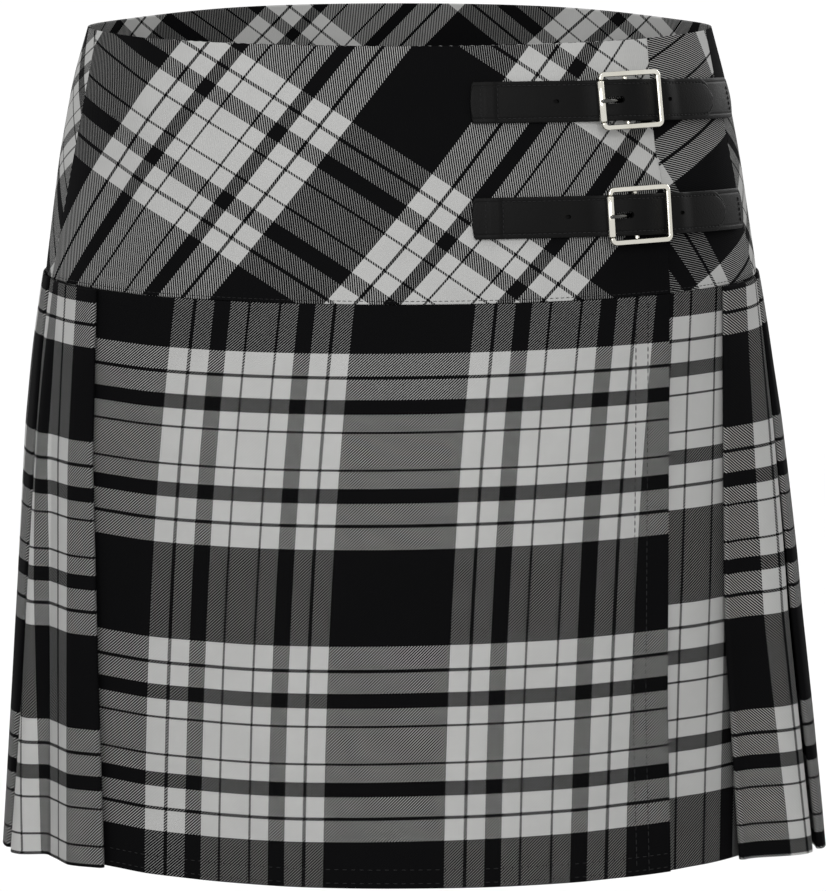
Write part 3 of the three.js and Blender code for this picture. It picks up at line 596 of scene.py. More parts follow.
OVER_YOKE_WARP = {"00": -44.6, "10": -82.9, "01": 108.9, "20": -6.8, "11": -1.7, "02": 0.6,
                  "30": 6.6, "21": -0.5, "03": -2.0}
OVER_YOKE_WEFT = {"00": 93.9, "10": 126.3, "01": 87.8, "20": -3.0, "11": -12.0, "02": -18.6,
                  "30": -4.2, "21": -0.4, "12": 8.5, "03": 14.9}
UNDER_YOKE_WARP = {"00": 54.0, "10": 35.1, "01": -50.6, "20": 43.7, "11": -17.0, "02": -4.1}
UNDER_YOKE_WEFT = {"00": -34.6, "10": 89.5, "01": 108.9, "20": -18.2, "11": 8.1, "02": -8.8}
BACK_YOKE_WARP = {"00": 129.9, "10": -124.5, "01": -128.2, "20": -4.0, "11": -4.0, "30": 12.3}
BACK_YOKE_WEFT = {"00": 67.0, "10": -143.2, "01": 110.2, "20": -2.2, "11": 3.9, "30": 18.3}

# The ranges of the across share in which each panel's bows hold.
OVER_YOKE_SEEN, UNDER_YOKE_SEEN, BACK_YOKE_SEEN = (-1.7, 1.1), (0.8, 1.35), (-0.7, 0.7)

# %% The edges of the panels
SIDE_SEAM_LEFT = [(0, 152), (126, 176)]
SIDE_SEAM_RIGHT = [(0, 154), (126, 179.5)]
OVER_YOKE_EDGE = [(0, 122), (55, 126), (70, 130), (126, 134)]
UNDER_LAYER_END = 112.0
OVERLAP_RAMP = 24.0
OVERLAP_LEVEL = 13.0
SEAM_GAP = 0.3


def over_lift(rings, distance):
    """The over layer has risen by one layer well before the under layer begins."""
    level = -rings.to_x(UNDER_LAYER_END, LEFT) - OVERLAP_LEVEL
    return LAYER*smoothstep((distance - level + OVERLAP_RAMP)/OVERLAP_RAMP)


def no_lift(rings, distance):
    """The other panels lie on the form itself."""
    return 0*distance


def seam_x(rings, table, side):
    return rings.to_x(soft_curve(table, rings.drops), side)


# %% Yoke panels
YOKE_ROWS = shares(64, YOKE_DEPTH)*YOKE_DEPTH
OVER_COLUMNS = 130
UNDER_YOKE_COLUMNS = 120
BACK_YOKE_COLUMNS = 170
DIP_DEPTH, DIP_AT, DIP_REACH, DIP_FADE = 2.1, 0.19, 0.065, 60


def waist_dip(rings, distance):
    """The top edge of the back dips between its middle and the sides, and evens out below."""
    share = np.abs(distance/rings.perimeter - 0.5)
    dip = DIP_DEPTH*np.exp(-((share - DIP_AT)/DIP_REACH)**2)
    return dip*(1 - smoothstep(rings.drops/DIP_FADE))


def yoke_panel(name, start, stop, count, lift, lines, bows, seen, middle=0.0):
    """A panel between two distances at each drop. Distances are mapped from its middle."""
    distance = spaced(start, stop, count)
    relief = creases(distance - middle, yoke_rings.drops, lines)
    points = yoke_rings.place(distance, lift(yoke_rings, distance) + relief, waist_dip(yoke_rings, distance))
    warp, weft = bias_map(distance - middle, yoke_rings.drops, bows, seen)
    return cloth_sheet(name, points, warp, weft)


yoke_rings = Rings(YOKE_ROWS)
left_seam = -seam_x(yoke_rings, SIDE_SEAM_LEFT, LEFT)
right_seam = seam_x(yoke_rings, SIDE_SEAM_RIGHT, RIGHT)
yoke_over = yoke_panel(
    "yoke_over_cloth", left_seam, seam_x(yoke_rings, OVER_YOKE_EDGE, RIGHT), OVER_COLUMNS,
    over_lift, OVER_YOKE_CREASES, (OVER_YOKE_WARP, OVER_YOKE_WEFT), OVER_YOKE_SEEN)
yoke_under = yoke_panel(
    "yoke_under_cloth", -yoke_rings.to_x(UNDER_LAYER_END, LEFT), right_seam - SEAM_GAP, UNDER_YOKE_COLUMNS,
    no_lift, UNDER_YOKE_CREASES, (UNDER_YOKE_WARP, UNDER_YOKE_WEFT), UNDER_YOKE_SEEN)
yoke_back = yoke_panel(
    "yoke_back_cloth", right_seam, yoke_rings.perimeter + left_seam - SEAM_GAP, BACK_YOKE_COLUMNS,
    no_lift, BACK_YOKE_CREASES, (BACK_YOKE_WARP, BACK_YOKE_WEFT), BACK_YOKE_SEEN, yoke_rings.perimeter/2)

# %% [markdown]
# ## The aprons
# Below the hip seam two flat aprons cross in front, one over the other. They are cut straight, so
# the warp hangs down and the weft runs round.

# %% Apron panels
OVER_APRON_EDGE = [(126, 133.5), (330, 133.5), (418, 135.5)]
FIRST_FOLD_LEFT = [(126, 151), (211, 153), (315, 150.5), (418, 147.5)]
FIRST_FOLD_RIGHT = [(126, 161.5), (294, 162), (418, 169.5)]
JOIN_DEPTH = 16.0
CREASE_GROWTH = 50.0
UNDER_APRON_COLUMNS = 110
SKIRT_ROWS = PLEAT_TOP + shares(104, LENGTH - PLEAT_TOP)*(LENGTH - PLEAT_TOP)
OVER_APRON_WARP = {"00": -38.4, "10": 154.2, "01": 32.8, "20": -0.5, "11": -3.6, "02": -21.3,
                   "30": -11.4, "21": -0.5, "12": 2.1, "03": 4.5}
OVER_APRON_WEFT = {"00": -25.5, "10": 1.1, "01": 308.4, "20": -0.3, "11": 3.2, "02": -31.8,
                   "30": -0.9, "21": 0.8, "12": -1.7, "03": 18.1}
UNDER_APRON_WARP = {"00": -89.9, "10": 121.8, "01": 13.0, "02": -4.5}
UNDER_APRON_WEFT = {"00": -12.3, "10": -0.6, "01": 300.9, "02": -6.4}
skirt_rings = Rings(SKIRT_ROWS)
grow = smoothstep((skirt_rings.drops - YOKE_DEPTH)/CREASE_GROWTH)


def apron_panel(name, start, stop, count, lift, lines, bows):
    """A straight-cut panel between two distances at each drop."""
    distance = spaced(start, stop, count)
    relief = creases(distance, skirt_rings.drops, lines)*grow
    points = skirt_rings.place(distance, lift(skirt_rings, distance) + relief)
    across, down = distance/SKIRT_SPAN[0], (skirt_rings.drops - YOKE_DEPTH)/SKIRT_SPAN[1]
    warp, weft = (on_flat(bow, across, down) for bow in bows)
    return cloth_sheet(name, points, warp, weft)


left_fold = -seam_x(skirt_rings, FIRST_FOLD_LEFT, LEFT)
right_fold = seam_x(skirt_rings, FIRST_FOLD_RIGHT, RIGHT)
apron_over = apron_panel(
    "apron_over_cloth", left_fold - JOIN_DEPTH + SEAM_GAP, seam_x(skirt_rings, OVER_APRON_EDGE, RIGHT),
    OVER_COLUMNS, over_lift, OVER_APRON_CREASES, (OVER_APRON_WARP, OVER_APRON_WEFT))
apron_under = apron_panel(
    "apron_under_cloth", -skirt_rings.to_x(UNDER_LAYER_END, LEFT), right_fold + JOIN_DEPTH - SEAM_GAP,
    UNDER_APRON_COLUMNS, no_lift, UNDER_APRON_CREASES, (UNDER_APRON_WARP, UNDER_APRON_WEFT))

# %% [markdown]
# ## The pleats
# Five knife pleats on each side fold forwards, and a box pleat closes the middle of the back.
# Each is cloth folded back under itself: an inner layer, a returning layer and the face that
# shows. One long grid follows the cloth through all of them, so its length is the real length of
# the cut. The pleats are folded to the sett: each takes one repeat of the warp stripes.

# %% Pleat sizes
# How far the folded edge and the middle of the face stand off at the hem, from front to back. The
# first face on the left has a wave instead: lifts at shares of its width.
RIGHT_PLEATS = [(8, 28), (30, 11), (10, 13), (13, 12), (13, 18)]
LEFT_WAVE = [(0, 7), (0.14, 11), (0.23, 13), (0.45, 9), (0.64, 7.5), (0.73, 20), (0.81, 22), (0.9, 19)]
LEFT_PLEATS = [(7, LEFT_WAVE), (19, 9), (10, 14), (15, 12), (12, 17)]
BACK_PLEAT = (15, 20)
FIRST_WIDTH_RIGHT = [(126, 46), (418, 37)]
FIRST_WIDTH_LEFT = [(126, 52), (211, 47), (418, 62)]
UNDERLAY = [(126, 46), (418, 38)]
PLEAT_SET_IN = [(126, 2.6), (160, 1), (200, 0)]
SET_IN_REACH = 30.0
UNDERLAY_MARGIN = 12.0
UNDERLAY_CLEAR = 3.0
LAYER_AT_TOP = 2.0
LAYER_AT_HEM = 3.0
BELLY_AT = 0.6

hang = np.clip((skirt_rings.drops - YOKE_DEPTH)/(LENGTH - YOKE_DEPTH), 0, 1)
layer = LAYER_AT_TOP + (LAYER_AT_HEM - LAYER_AT_TOP)*hang
set_in = np.maximum(0, soft_curve(PLEAT_SET_IN, skirt_rings.drops))


def grown(at_hem):
    """From the pressed height at the yoke to the height at the hem."""
    return 2*LAYER_AT_TOP + (at_hem - 2*LAYER_AT_TOP)*hang


second_right = right_fold + soft_curve(FIRST_WIDTH_RIGHT, skirt_rings.drops)
second_left = -left_fold + soft_curve(FIRST_WIDTH_LEFT, skirt_rings.drops)
pitch = (skirt_rings.perimeter - second_right - second_left)/(len(RIGHT_PLEATS) + len(LEFT_PLEATS) - 1)
print("pleat pitch at the hem:", round(float(pitch[-1, 0]), 1), "mm")

# %% Lines of cloth through the pleats
FACE_STEPS = 34
LAYER_STEPS = 9
BEND_STEPS = 5
WAVE_STEPS = 201
WAVE_SOFTNESS = 7
TUCK_AT = 0.86


def straight(start, stop, steps=LAYER_STEPS):
    """Distance and lift in even steps between two knots, without the last."""
    share = np.arange(steps)[None, :]/steps
    return start[0] + (stop[0] - start[0])*share, start[1] + (stop[1] - start[1])*share


def bend(distance, low, turn, upwards=True):
    """Half a circle of cloth between two layers, without its end points. Turn is 1 where it
    points on round the form and -1 at a folded edge."""
    angle = np.pi*np.arange(1, BEND_STEPS)[None, :]/BEND_STEPS - np.pi/2
    height = np.sin(angle) if upwards else -np.sin(angle)
    return distance + turn*np.cos(angle)*layer/2, low + layer/2*(1 + height)


def face(start, stop, clear, first, belly, last):
    """The face rises in an S to its belly and falls in an S to where it tucks under the next."""
    top = np.maximum(start + BELLY_AT*(stop - start), clear)
    share = np.linspace(0, 2, FACE_STEPS, endpoint=False)[None, :]
    rising = share < 1
    distance = np.where(rising, start + (top - start)*share, top + (stop - top)*(share - 1))
    lift = np.where(rising, first + (belly - first)*smoothstep(share),
                    belly + (last - belly)*smoothstep(share - 1))
    return distance, lift


def wavy_face(start, stop, wave, last):
    """A face through the lifts of a wave, softened over a small share of its width."""
    share = np.linspace(0, 1, FACE_STEPS, endpoint=False)[None, :]
    fine = np.linspace(0, 1, WAVE_STEPS)
    at_hem = np.interp(fine, *np.transpose(wave))
    bell = np.hanning(2*WAVE_SOFTNESS + 1)
    at_hem = np.convolve(np.pad(at_hem, WAVE_SOFTNESS, mode="edge"), bell/bell.sum(), mode="valid")
    lift = grown(np.interp(share, fine, at_hem))
    tuck = smoothstep((share - TUCK_AT)/(1 - TUCK_AT))
    return start + (stop - start)*share, lift + (last - lift)*tuck


def underlay(fold, depth, fold_lift, start):
    """Inner layer, its bend, the returning layer and the folded edge."""
    inner = (fold + depth, 0*fold)
    back = (fold + depth, layer)
    edge = (fold, fold_lift - layer)
    return [straight(start, inner), inner, bend(inner[0], 0, 1), straight(back, edge), edge,
            bend(fold, edge[1], -1)]


def columns(line):
    """How many points along a row the parts of a line have."""
    return sum(part[0].shape[1] for part in line)


def side_pleats(first, second, pleats):
    """The parts of one side's line from front to back, the last fold, the point that the line has
    come to, and the column of each folded edge."""
    folds = [first] + [second + i*pitch for i in range(len(pleats))]
    start = (first + JOIN_DEPTH, 0*first)
    line = []
    marks = []
    for i, (fold_height, belly) in enumerate(pleats):
        fold, following = folds[i], folds[i + 1]
        depth = np.minimum(underlay_depth, following - fold - UNDERLAY_MARGIN)
        line += underlay(fold, depth, grown(fold_height), start)
        marks.append(columns(line))
        after = pleats[i + 1][0] if i + 1 < len(pleats) else BACK_PLEAT[0]
        tuck = grown(after) - 2*layer
        if isinstance(belly, list):
            line.append(wavy_face(fold, following, belly, tuck))
        else:
            clear = fold + depth + UNDERLAY_CLEAR
            line.append(face(fold, following, clear, grown(fold_height), grown(belly), tuck))
        start = (following, tuck)
    return line, folds[-1], start, marks


underlay_depth = soft_curve(UNDERLAY, skirt_rings.drops)
box_depth = pitch/2 - UNDERLAY_CLEAR
right_line, back_fold, right_end, right_marks = side_pleats(right_fold, second_right, RIGHT_PLEATS)
far_fold = back_fold + pitch
fold_lift, belly_lift = (grown(height) for height in BACK_PLEAT)
right_line += underlay(back_fold, box_depth, fold_lift, right_end)
right_marks.append(columns(right_line))
right_line += [
    face(back_fold, far_fold, back_fold + box_depth, fold_lift, belly_lift, fold_lift),
    (far_fold, fold_lift),
    bend(far_fold, fold_lift - layer, 1, upwards=False),
    straight((far_fold, fold_lift - layer), (far_fold - box_depth, layer)),
    (far_fold - box_depth, layer),
]
left_line, left_end_fold, left_end, left_marks = side_pleats(-left_fold, second_left, LEFT_PLEATS)
left_stop = (left_end_fold + box_depth, 0*left_end_fold)
left_line += [straight(left_end, left_stop), left_stop]
print("points along a row:", columns(right_line), columns(left_line))

# %% Pleat sheets
# Stripe position at the folded edge of the first pleats and how it grows down and along the face.
FIRST_RIGHT_WARP = {"00": -10.8, "01": -8.5, "02": -7.5}
RIGHT_STRETCH = {"00": 0.6, "01": 0.45}
LEFT_STRETCH = {"00": 1.0}
FIRST_LEFT_WARP = {"00": -12.0, "01": -6.5}
RIGHT_WEFT = {"00": -74.0, "01": 306.0, "02": -9.2}
LEFT_WEFT = {"00": -78.5, "01": 298.5, "02": -4.2}


def warp_along(run, marks, at_fold, first_ease):
    """The warp position along each row: exact on each face, counted from its folded edge, and
    stretched evenly along what is hidden between two faces."""
    folds_run = run[:, marks]
    folds_warp = at_fold + WARP_REPEAT*np.arange(len(marks))[None, :]
    ends_run = run[:, np.array(marks) + FACE_STEPS - 1]
    ease = np.ones_like(folds_run)
    ease[:, :1] = first_ease
    ends_warp = folds_warp + (ends_run - folds_run)*ease
    table_run = np.stack([folds_run, ends_run], 2).reshape(len(run), -1)
    table_warp = np.stack([folds_warp, ends_warp], 2).reshape(len(run), -1)
    table_run = np.hstack([run[:, :1] - 1, table_run, run[:, -1:] + 1])
    before = table_warp[:, :1] - (table_run[:, 1:2] - table_run[:, :1])
    after = table_warp[:, -1:] + (table_run[:, -1:] - table_run[:, -2:-1])
    table_warp = np.hstack([before, table_warp, after])
    return np.stack([np.interp(r, x, y) for r, x, y in zip(run, table_run, table_warp)])


def pleat_sheet(name, line, marks, hand, lines, stretch, warp_bows, weft_bows):
    """A sheet through the line of one side, and its mean length along the folded cloth."""
    distance, lift = (np.hstack([np.broadcast_to(part[k], (len(hang), part[k].shape[1])) for part in line])
                      for k in (0, 1))
    lift = lift - set_in*smoothstep((distance - distance[:, :1])/SET_IN_REACH)
    lift = lift + creases(distance, skirt_rings.drops, lines)*grow
    points = skirt_rings.place(hand*distance, lift)
    steps = np.linalg.norm(np.diff(points, axis=1), axis=-1)
    run = np.hstack([np.zeros((len(points), 1)), np.cumsum(steps, axis=1)])
    down = (skirt_rings.drops - YOKE_DEPTH)/SKIRT_SPAN[1]
    warp = warp_along(run, marks, on_flat(warp_bows, 0*down, down), on_flat(stretch, 0*down, down))
    weft = np.broadcast_to(on_flat(weft_bows, 0*down, down), run.shape)
    if hand < 0:
        points, warp, weft = (table[:, ::-1] for table in (points, warp, weft))
    print(name, "is", round(float(run[-1, -1])), "mm of cloth at the hem")
    return cloth_sheet(name, points, warp, weft), float(run[:, -1].mean())


pleats_right, right_cut = pleat_sheet("pleats_right_cloth", right_line, right_marks, 1, RIGHT_PLEAT_CREASES,
                                      RIGHT_STRETCH, FIRST_RIGHT_WARP, RIGHT_WEFT)
pleats_left, left_cut = pleat_sheet("pleats_left_cloth", left_line, left_marks, -1, LEFT_PLEAT_CREASES,
                                    LEFT_STRETCH, FIRST_LEFT_WARP, LEFT_WEFT)

# %% [markdown]
# ## Leather straps
# Each strap is a flat belt of black leather, two layers stitched round their edge, so its outer
# face is slightly crowned between two sunken stitch lines. It lies on the over yoke, climbs over
# the buckle's middle bar and settles on the tab. A profile carried along that path keeps its
# edges crisp, where a box with bevels would kink. The path is a row of frames on the form, each
# with one direction round it, one up and one out.

# %% Strap sizes
# The wall of the solids' cloth, which is a little thicker than the sheets here.
SOLID_CLOTH = 1.2
STRAP_WIDTH = 20.5
STRAP_THICK = 1.8
TAB_THICK = 1.2
LEATHER_GAP = 0.4
BAR_RADIUS = 1.3
BUCKLE_WIDTH, BUCKLE_HEIGHT, BUCKLE_BAR, BUCKLE_THICK = 36.5, 29.3, 3.0, 2.6
# Places across the front, in mm right of its middle, and the drop of each strap with its fall.
STRAPS = {
    "upper": {"drop": 28.0, "fall": 5.0, "start": 34.5, "buckle": 109.7, "tip": 151.5, "tab": 162.0,
              "holes": (76.0, 129.5)},
    "lower": {"drop": 84.5, "fall": 4.0, "start": 35.5, "buckle": 114.6, "tip": 158.5, "tab": 169.0,
              "holes": (82.0, 136.0)},
}
BAR_PLAY = 0.25
TAB_LOW = LEATHER_GAP + TAB_THICK/2
WRAP_RADIUS = BAR_RADIUS + BAR_PLAY + TAB_THICK/2
BAR_LIFT = TAB_LOW + WRAP_RADIUS
TAB_HIGH = TAB_LOW + TAB_THICK + LEATHER_GAP
STRAP_LOW = LEATHER_GAP + STRAP_THICK/2
STRAP_OVER_BAR = BAR_LIFT + WRAP_RADIUS + TAB_THICK/2 + LEATHER_GAP + STRAP_THICK/2
STRAP_ON_TAB = TAB_HIGH + TAB_THICK/2 + LEATHER_GAP + STRAP_THICK/2
FRAME_LIFT = STRAP_ON_TAB + STRAP_THICK/2 + LEATHER_GAP + BUCKLE_THICK/2
END_BAR = BUCKLE_WIDTH/2 - BUCKLE_BAR/2
print("the strap stands", round(STRAP_OVER_BAR, 2), "mm off the cloth over the bar")


# %% Path of a strap
# Where the strap comes down past the edge of the over yoke, and its climb over the buckle's bar.
SETTLE_AFTER, SETTLE_REACH = 5.0, 10.0
CLIMB_BEFORE, CLIMB_REACH = END_BAR + 8, END_BAR + 6
BAR_FLAT = 2.0


def unit(vectors):
    return vectors/np.linalg.norm(vectors, axis=-1, keepdims=True)


class StrapPath:
    """Frames along one strap. Distances run round the form at the strap's own drop."""

    def __init__(self, plan):
        self.plan = plan
        self.ring = Rings([plan["drop"]])
        self.start, self.buckle = self.along(plan["start"]), self.along(plan["buckle"])
        self.tip, self.tab = self.along(plan["tip"]), self.along(plan["tab"])
        self.edge = self.along(float(soft_curve(OVER_YOKE_EDGE, plan["drop"])))

    def along(self, across):
        return self.ring.to_x(across, RIGHT).item()

    def spot(self, distance, drop):
        angle = self.ring.angle(distance[None, :])[0]
        x, y, _, _ = form_point(drop, angle)
        return np.stack([x, y, -drop], -1)

    def frames(self, distance, height):
        """Origins and the directions round, up and out, at a height off the cloth's outer face."""
        share = np.maximum(0, (distance - self.start)/(self.tip - self.start))
        drop = self.plan["drop"] + self.plan["fall"]*share**2
        round_way = unit(self.spot(distance + 0.5, drop) - self.spot(distance - 0.5, drop))
        rough = self.spot(distance, drop - 0.5) - self.spot(distance, drop + 0.5)
        out = unit(np.cross(round_way, rough))
        up = np.cross(out, round_way)
        settled = smoothstep((distance - self.edge - SETTLE_AFTER)/SETTLE_REACH)
        lift = SOLID_CLOTH/2 + LAYER*(1 - settled) + height
        return self.spot(distance, drop) + out*lift[:, None], round_way, up, out

    def frame(self, distance, height):
        """The frame at one distance."""
        return (part[0] for part in self.frames(np.array([distance]), np.array([height])))


def strap_height(past):
    """Low before the buckle, over its bar at 0, and down onto the tab behind it."""
    climb = smoothstep((past + CLIMB_BEFORE)/CLIMB_REACH)
    settle = smoothstep((past - BAR_FLAT)/(END_BAR - BAR_FLAT))
    before = STRAP_LOW + (STRAP_OVER_BAR - STRAP_LOW)*climb
    after = STRAP_OVER_BAR + (STRAP_ON_TAB - STRAP_OVER_BAR)*settle
    return np.where(past < 0, before, after)


paths = {name: StrapPath(plan) for name, plan in STRAPS.items()}
print({name: round(path.tip - path.start, 1) for name, path in paths.items()}, "mm of strap show")

# %% A band of leather
CORNER = 0.5
STITCH_IN = 2.2
GROOVE, GROOVE_REACH = 0.22, 0.4
CROWN = 0.35
TOP_STEPS = 61
UNDER_STEPS = 9


def band_profile(width, thick):
    """Closed outline of a band, as across and out: a crowned top with a groove each side at
    STITCH_IN from the edge, z = t/2 + crown (1 - (2y/w)^2) - groove exp(-((|y| - g)/reach)^2),
    round corners and a flat back."""
    flat = np.linspace(width/2 - CORNER, CORNER - width/2, TOP_STEPS)
    top = thick/2 + CROWN*(1 - (2*flat/width)**2)
    top -= GROOVE*np.exp(-((np.abs(flat) - width/2 + STITCH_IN)/GROOVE_REACH)**2)
    turn = np.linspace(0, np.pi/2, 5)
    sides = []
    for quarter, (y, z) in enumerate(((-1, 1), (-1, -1), (1, -1), (1, 1))):
        angle = turn + np.pi/2*(quarter + 1)
        sides.append(np.stack([y*(width/2 - CORNER) + CORNER*np.cos(angle),
                               z*(thick/2 - CORNER) + CORNER*np.sin(angle)], -1))
    under = np.linspace(CORNER - width/2, width/2 - CORNER, UNDER_STEPS)[1:-1]
    rows = (np.stack([flat[1:-1], top[1:-1]], -1), sides[0], sides[1],
            np.stack([under, np.full_like(under, -thick/2)], -1), sides[2], sides[3])
    return np.concatenate(rows)


def rounded_end(past, reach, power):
    """Share of the full width at a distance before an end: (1 - (1 - d/reach)^p)^(1/p)."""
    share = np.clip(1 - past/reach, 0, 1)
    return np.maximum(1 - share**power, 0)**(1/power)


def carry(centres, ups, outs, profile, widths):
    """Points of a profile carried along frames. Its across value is scaled by widths."""
    across = profile[None, :, :1]*widths[:, None, None]
    return centres[:, None] + across*ups[:, None] + profile[None, :, 1:]*outs[:, None]


def tube_faces(stations, sides, closed=False):
    """Quads between neighbouring stations of a closed profile, which may join end to start."""
    ring = np.arange(sides)
    last = stations if closed else stations - 1
    base = np.arange(last)[:, None]*sides
    ahead = (np.arange(last)[:, None] + 1) % stations*sides
    following = np.roll(ring, -1)[None, :]
    ring = ring[None, :]
    return np.stack([base + ring, base + following, ahead + following, ahead + ring], -1).reshape(-1, 4)


def band(name, centres, ups, outs, widths, thick):
    """A closed band of leather of a thickness, along frames."""
    profile = band_profile(STRAP_WIDTH, thick)
    points = carry(centres, ups, outs, profile, widths)
    piece = new_mesh(name, points.reshape(-1, 3), tube_faces(len(centres), len(profile)))
    face_outwards(piece)
    return piece


def face_outwards(piece):
    """Close the ends, merge what coincides and turn every face outwards."""
    work = bmesh.new()
    work.from_mesh(piece.data)
    bmesh.ops.remove_doubles(work, verts=work.verts, dist=1e-6)
    loose = [edge for edge in work.edges if edge.is_boundary]
    if loose:
        bmesh.ops.holes_fill(work, edges=loose)
    bmesh.ops.recalc_face_normals(work, faces=work.faces)
    work.to_mesh(piece.data)
    work.free()


def smooth_by_angle(piece, degrees=40):
    """Smooth shading that stops at edges sharper than an angle."""
    piece.data.shade_smooth()
    piece.data.set_sharp_from_angle(angle=math.radians(degrees))


THROUGH = 12.0
SLOT_SIDES = 24


def cut_slot(piece, path, distance, height, length, width, depth=THROUGH):
    """Cut a rounded slot into leather, whose floor lies at a depth below the given height."""
    turn = np.linspace(0, 2*np.pi, SLOT_SIDES, endpoint=False)
    x = np.sign(np.cos(turn))*(length - width)/2 + np.cos(turn)*width/2
    y = np.sin(turn)*width/2
    origin, round_way, up, out = path.frame(distance, height)
    around = origin + x[:, None]*round_way + y[:, None]*up
    wall = np.concatenate([around - out*depth, around + out*THROUGH])
    cutter = new_mesh("cutter", wall, tube_faces(2, SLOT_SIDES), smooth=False)
    face_outwards(cutter)
    cut = piece.modifiers.new("slot", "BOOLEAN")
    cut.operation = "DIFFERENCE"
    cut.solver = "EXACT"
    cut.object = cutter
    apply_modifiers(piece)
    bpy.data.objects.remove(cutter)


def apply_modifiers(piece):
    graph = bpy.context.evaluated_depsgraph_get()
    made = bpy.data.meshes.new_from_object(piece.evaluated_get(graph))
    piece.modifiers.clear()
    old = piece.data
    piece.data = made
    bpy.data.meshes.remove(old)


# %% Straps
TIP_REACH, TIP_POWER = 9.0, 1.7
START_REACH = 1.5
STRAP_STEP = 0.9
# Stations at the sewn end in mm, and at the tip as shares of its reach.
START_STATIONS = np.array([0.02, 0.15, 0.4, 0.8])
TIP_STATIONS = np.array([1, 0.9, 0.78, 0.65, 0.52, 0.4, 0.3, 0.21, 0.13, 0.07, 0.03, 0.004])
# Length, width and depth.
SPARE_HOLE = (3.0, 2.0, 0.6)
PRONG_SLOT, PRONG_SLOT_BEFORE = (9.0, 3.4), 8.0
# The end is folded under and sewn down by two cross rows, and the leather stands up between them.
END_BOX = {"upper": (5.0, 13.2), "lower": (6.5, 15.0)}
END_PUFF = 0.6
PUFF_RAMP = 1.8


def make_strap(name, path):
    """The band along its path, with stations close together at both ends, and its holes."""
    distance = np.concatenate([
        path.start + START_STATIONS,
        np.arange(path.start + START_REACH, path.tip - TIP_REACH, STRAP_STEP),
        path.tip - TIP_REACH*TIP_STATIONS])
    near, far = (path.start + place for place in END_BOX[name])
    puff = END_PUFF*smoothstep((distance - near)/PUFF_RAMP)*smoothstep((far - distance)/PUFF_RAMP)
    centre, _, up, out = path.frames(distance, strap_height(distance - path.buckle) + puff)
    width = rounded_end(distance - path.start, START_REACH, 2)
    width = width*rounded_end(path.tip - distance, TIP_REACH, TIP_POWER)
    piece = band("strap_" + name + "_leather", centre, up, out, width, STRAP_THICK)
    for place in path.plan["holes"]:
        hole = path.along(place)
        cut_slot(piece, path, hole, strap_height(np.array([hole - path.buckle])).item(), *SPARE_HOLE)
    cut_slot(piece, path, path.buckle - PRONG_SLOT_BEFORE, STRAP_OVER_BAR, *PRONG_SLOT)
    smooth_by_angle(piece)
    return piece


straps = {name: make_strap(name, path) for name, path in paths.items()}
print({name: len(piece.data.polygons) for name, piece in straps.items()}, "faces")


# %% Tabs
TAB_STEPS = 60
WRAP_STEPS = 17
SINK_REACH = 12.0
TAB_END_REACH, TAB_END_POWER = 4, 3
TAB_END_WIDTH = 0.55
TAB_SLOT, TAB_SLOT_BEFORE = (9.0, 3.6), 2.5


def make_tab(name, path):
    """The tab's middle line: in from its end under the bar, half round the bar, and back on top."""
    lower = np.linspace(path.tab, path.buckle, TAB_STEPS)
    turn = np.linspace(-np.pi/2, -1.5*np.pi, WRAP_STEPS)[1:-1]
    upper = np.linspace(path.buckle, path.tab, TAB_STEPS)
    centre_low, _, up_low, out_low = path.frames(lower, np.full(TAB_STEPS, TAB_LOW))
    bar, way, up_bar, out_bar = path.frame(path.buckle, BAR_LIFT)
    spoke = np.cos(turn)[:, None]*way + np.sin(turn)[:, None]*out_bar
    sunk = smoothstep((upper - path.buckle)/SINK_REACH)
    high = TAB_HIGH + (BAR_LIFT + WRAP_RADIUS - TAB_HIGH)*(1 - sunk)
    centre_high, _, up_high, out_high = path.frames(upper, high)
    centres = np.concatenate([centre_low, bar + spoke*WRAP_RADIUS, centre_high])
    ups = np.concatenate([up_low, np.repeat(up_bar[None], len(turn), 0), up_high])
    outs = np.concatenate([-out_low, spoke, out_high])
    past = path.tab - np.concatenate([lower, np.full(len(turn), path.buckle), upper])
    width = np.maximum(rounded_end(past, TAB_END_REACH, TAB_END_POWER), TAB_END_WIDTH)
    piece = band("tab_" + name + "_leather", centres, ups, outs, width, TAB_THICK)
    cut_slot(piece, path, path.buckle - TAB_SLOT_BEFORE, BAR_LIFT, *TAB_SLOT)
    smooth_by_angle(piece)
    return piece


tabs = {name: make_tab(name, path) for name, path in paths.items()}
print("tabs:", [len(piece.data.polygons) for piece in tabs.values()], "faces")

# %% [markdown]
# ## Buckles
# A centre-bar roller buckle: a rounded frame of polished metal, a middle bar behind it that the
# tab goes round, a loose roller on the bar that the strap bends over, and a prong through the
# strap that rests on the roller. The frame is a superellipse carried round a rounded rectangle,
# so light runs along it in long lines, as it does on polished wire.

# %% Metal sweeps
def sweep(centres, profile, sideways, closed=False, scale=None):
    """Carry a profile along a line. Each profile stands square to the line: its x runs along the
    given sideways direction, made square to the line, and its y along their cross product."""
    ahead = np.roll(centres, -1, 0) - np.roll(centres, 1, 0)
    if not closed:
        ahead[0], ahead[-1] = centres[1] - centres[0], centres[-1] - centres[-2]
    ahead = unit(ahead)
    second = unit(np.cross(ahead, sideways))
    first = np.cross(second, ahead)
    scale = np.ones(len(centres)) if scale is None else scale
    shaped = profile[None]*scale[:, None, None]
    return centres[:, None] + shaped[..., :1]*first[:, None] + shaped[..., 1:]*second[:, None]


def oval(width, height, power, sides):
    """Superellipse |2x/w|^p + |2y/h|^p = 1, in even turns."""
    turn = np.linspace(0, 2*np.pi, sides, endpoint=False)
    cosine, sine = np.cos(turn), np.sin(turn)
    x = width/2*np.sign(cosine)*np.abs(cosine)**(2/power)
    y = height/2*np.sign(sine)*np.abs(sine)**(2/power)
    return np.stack([x, y], -1)


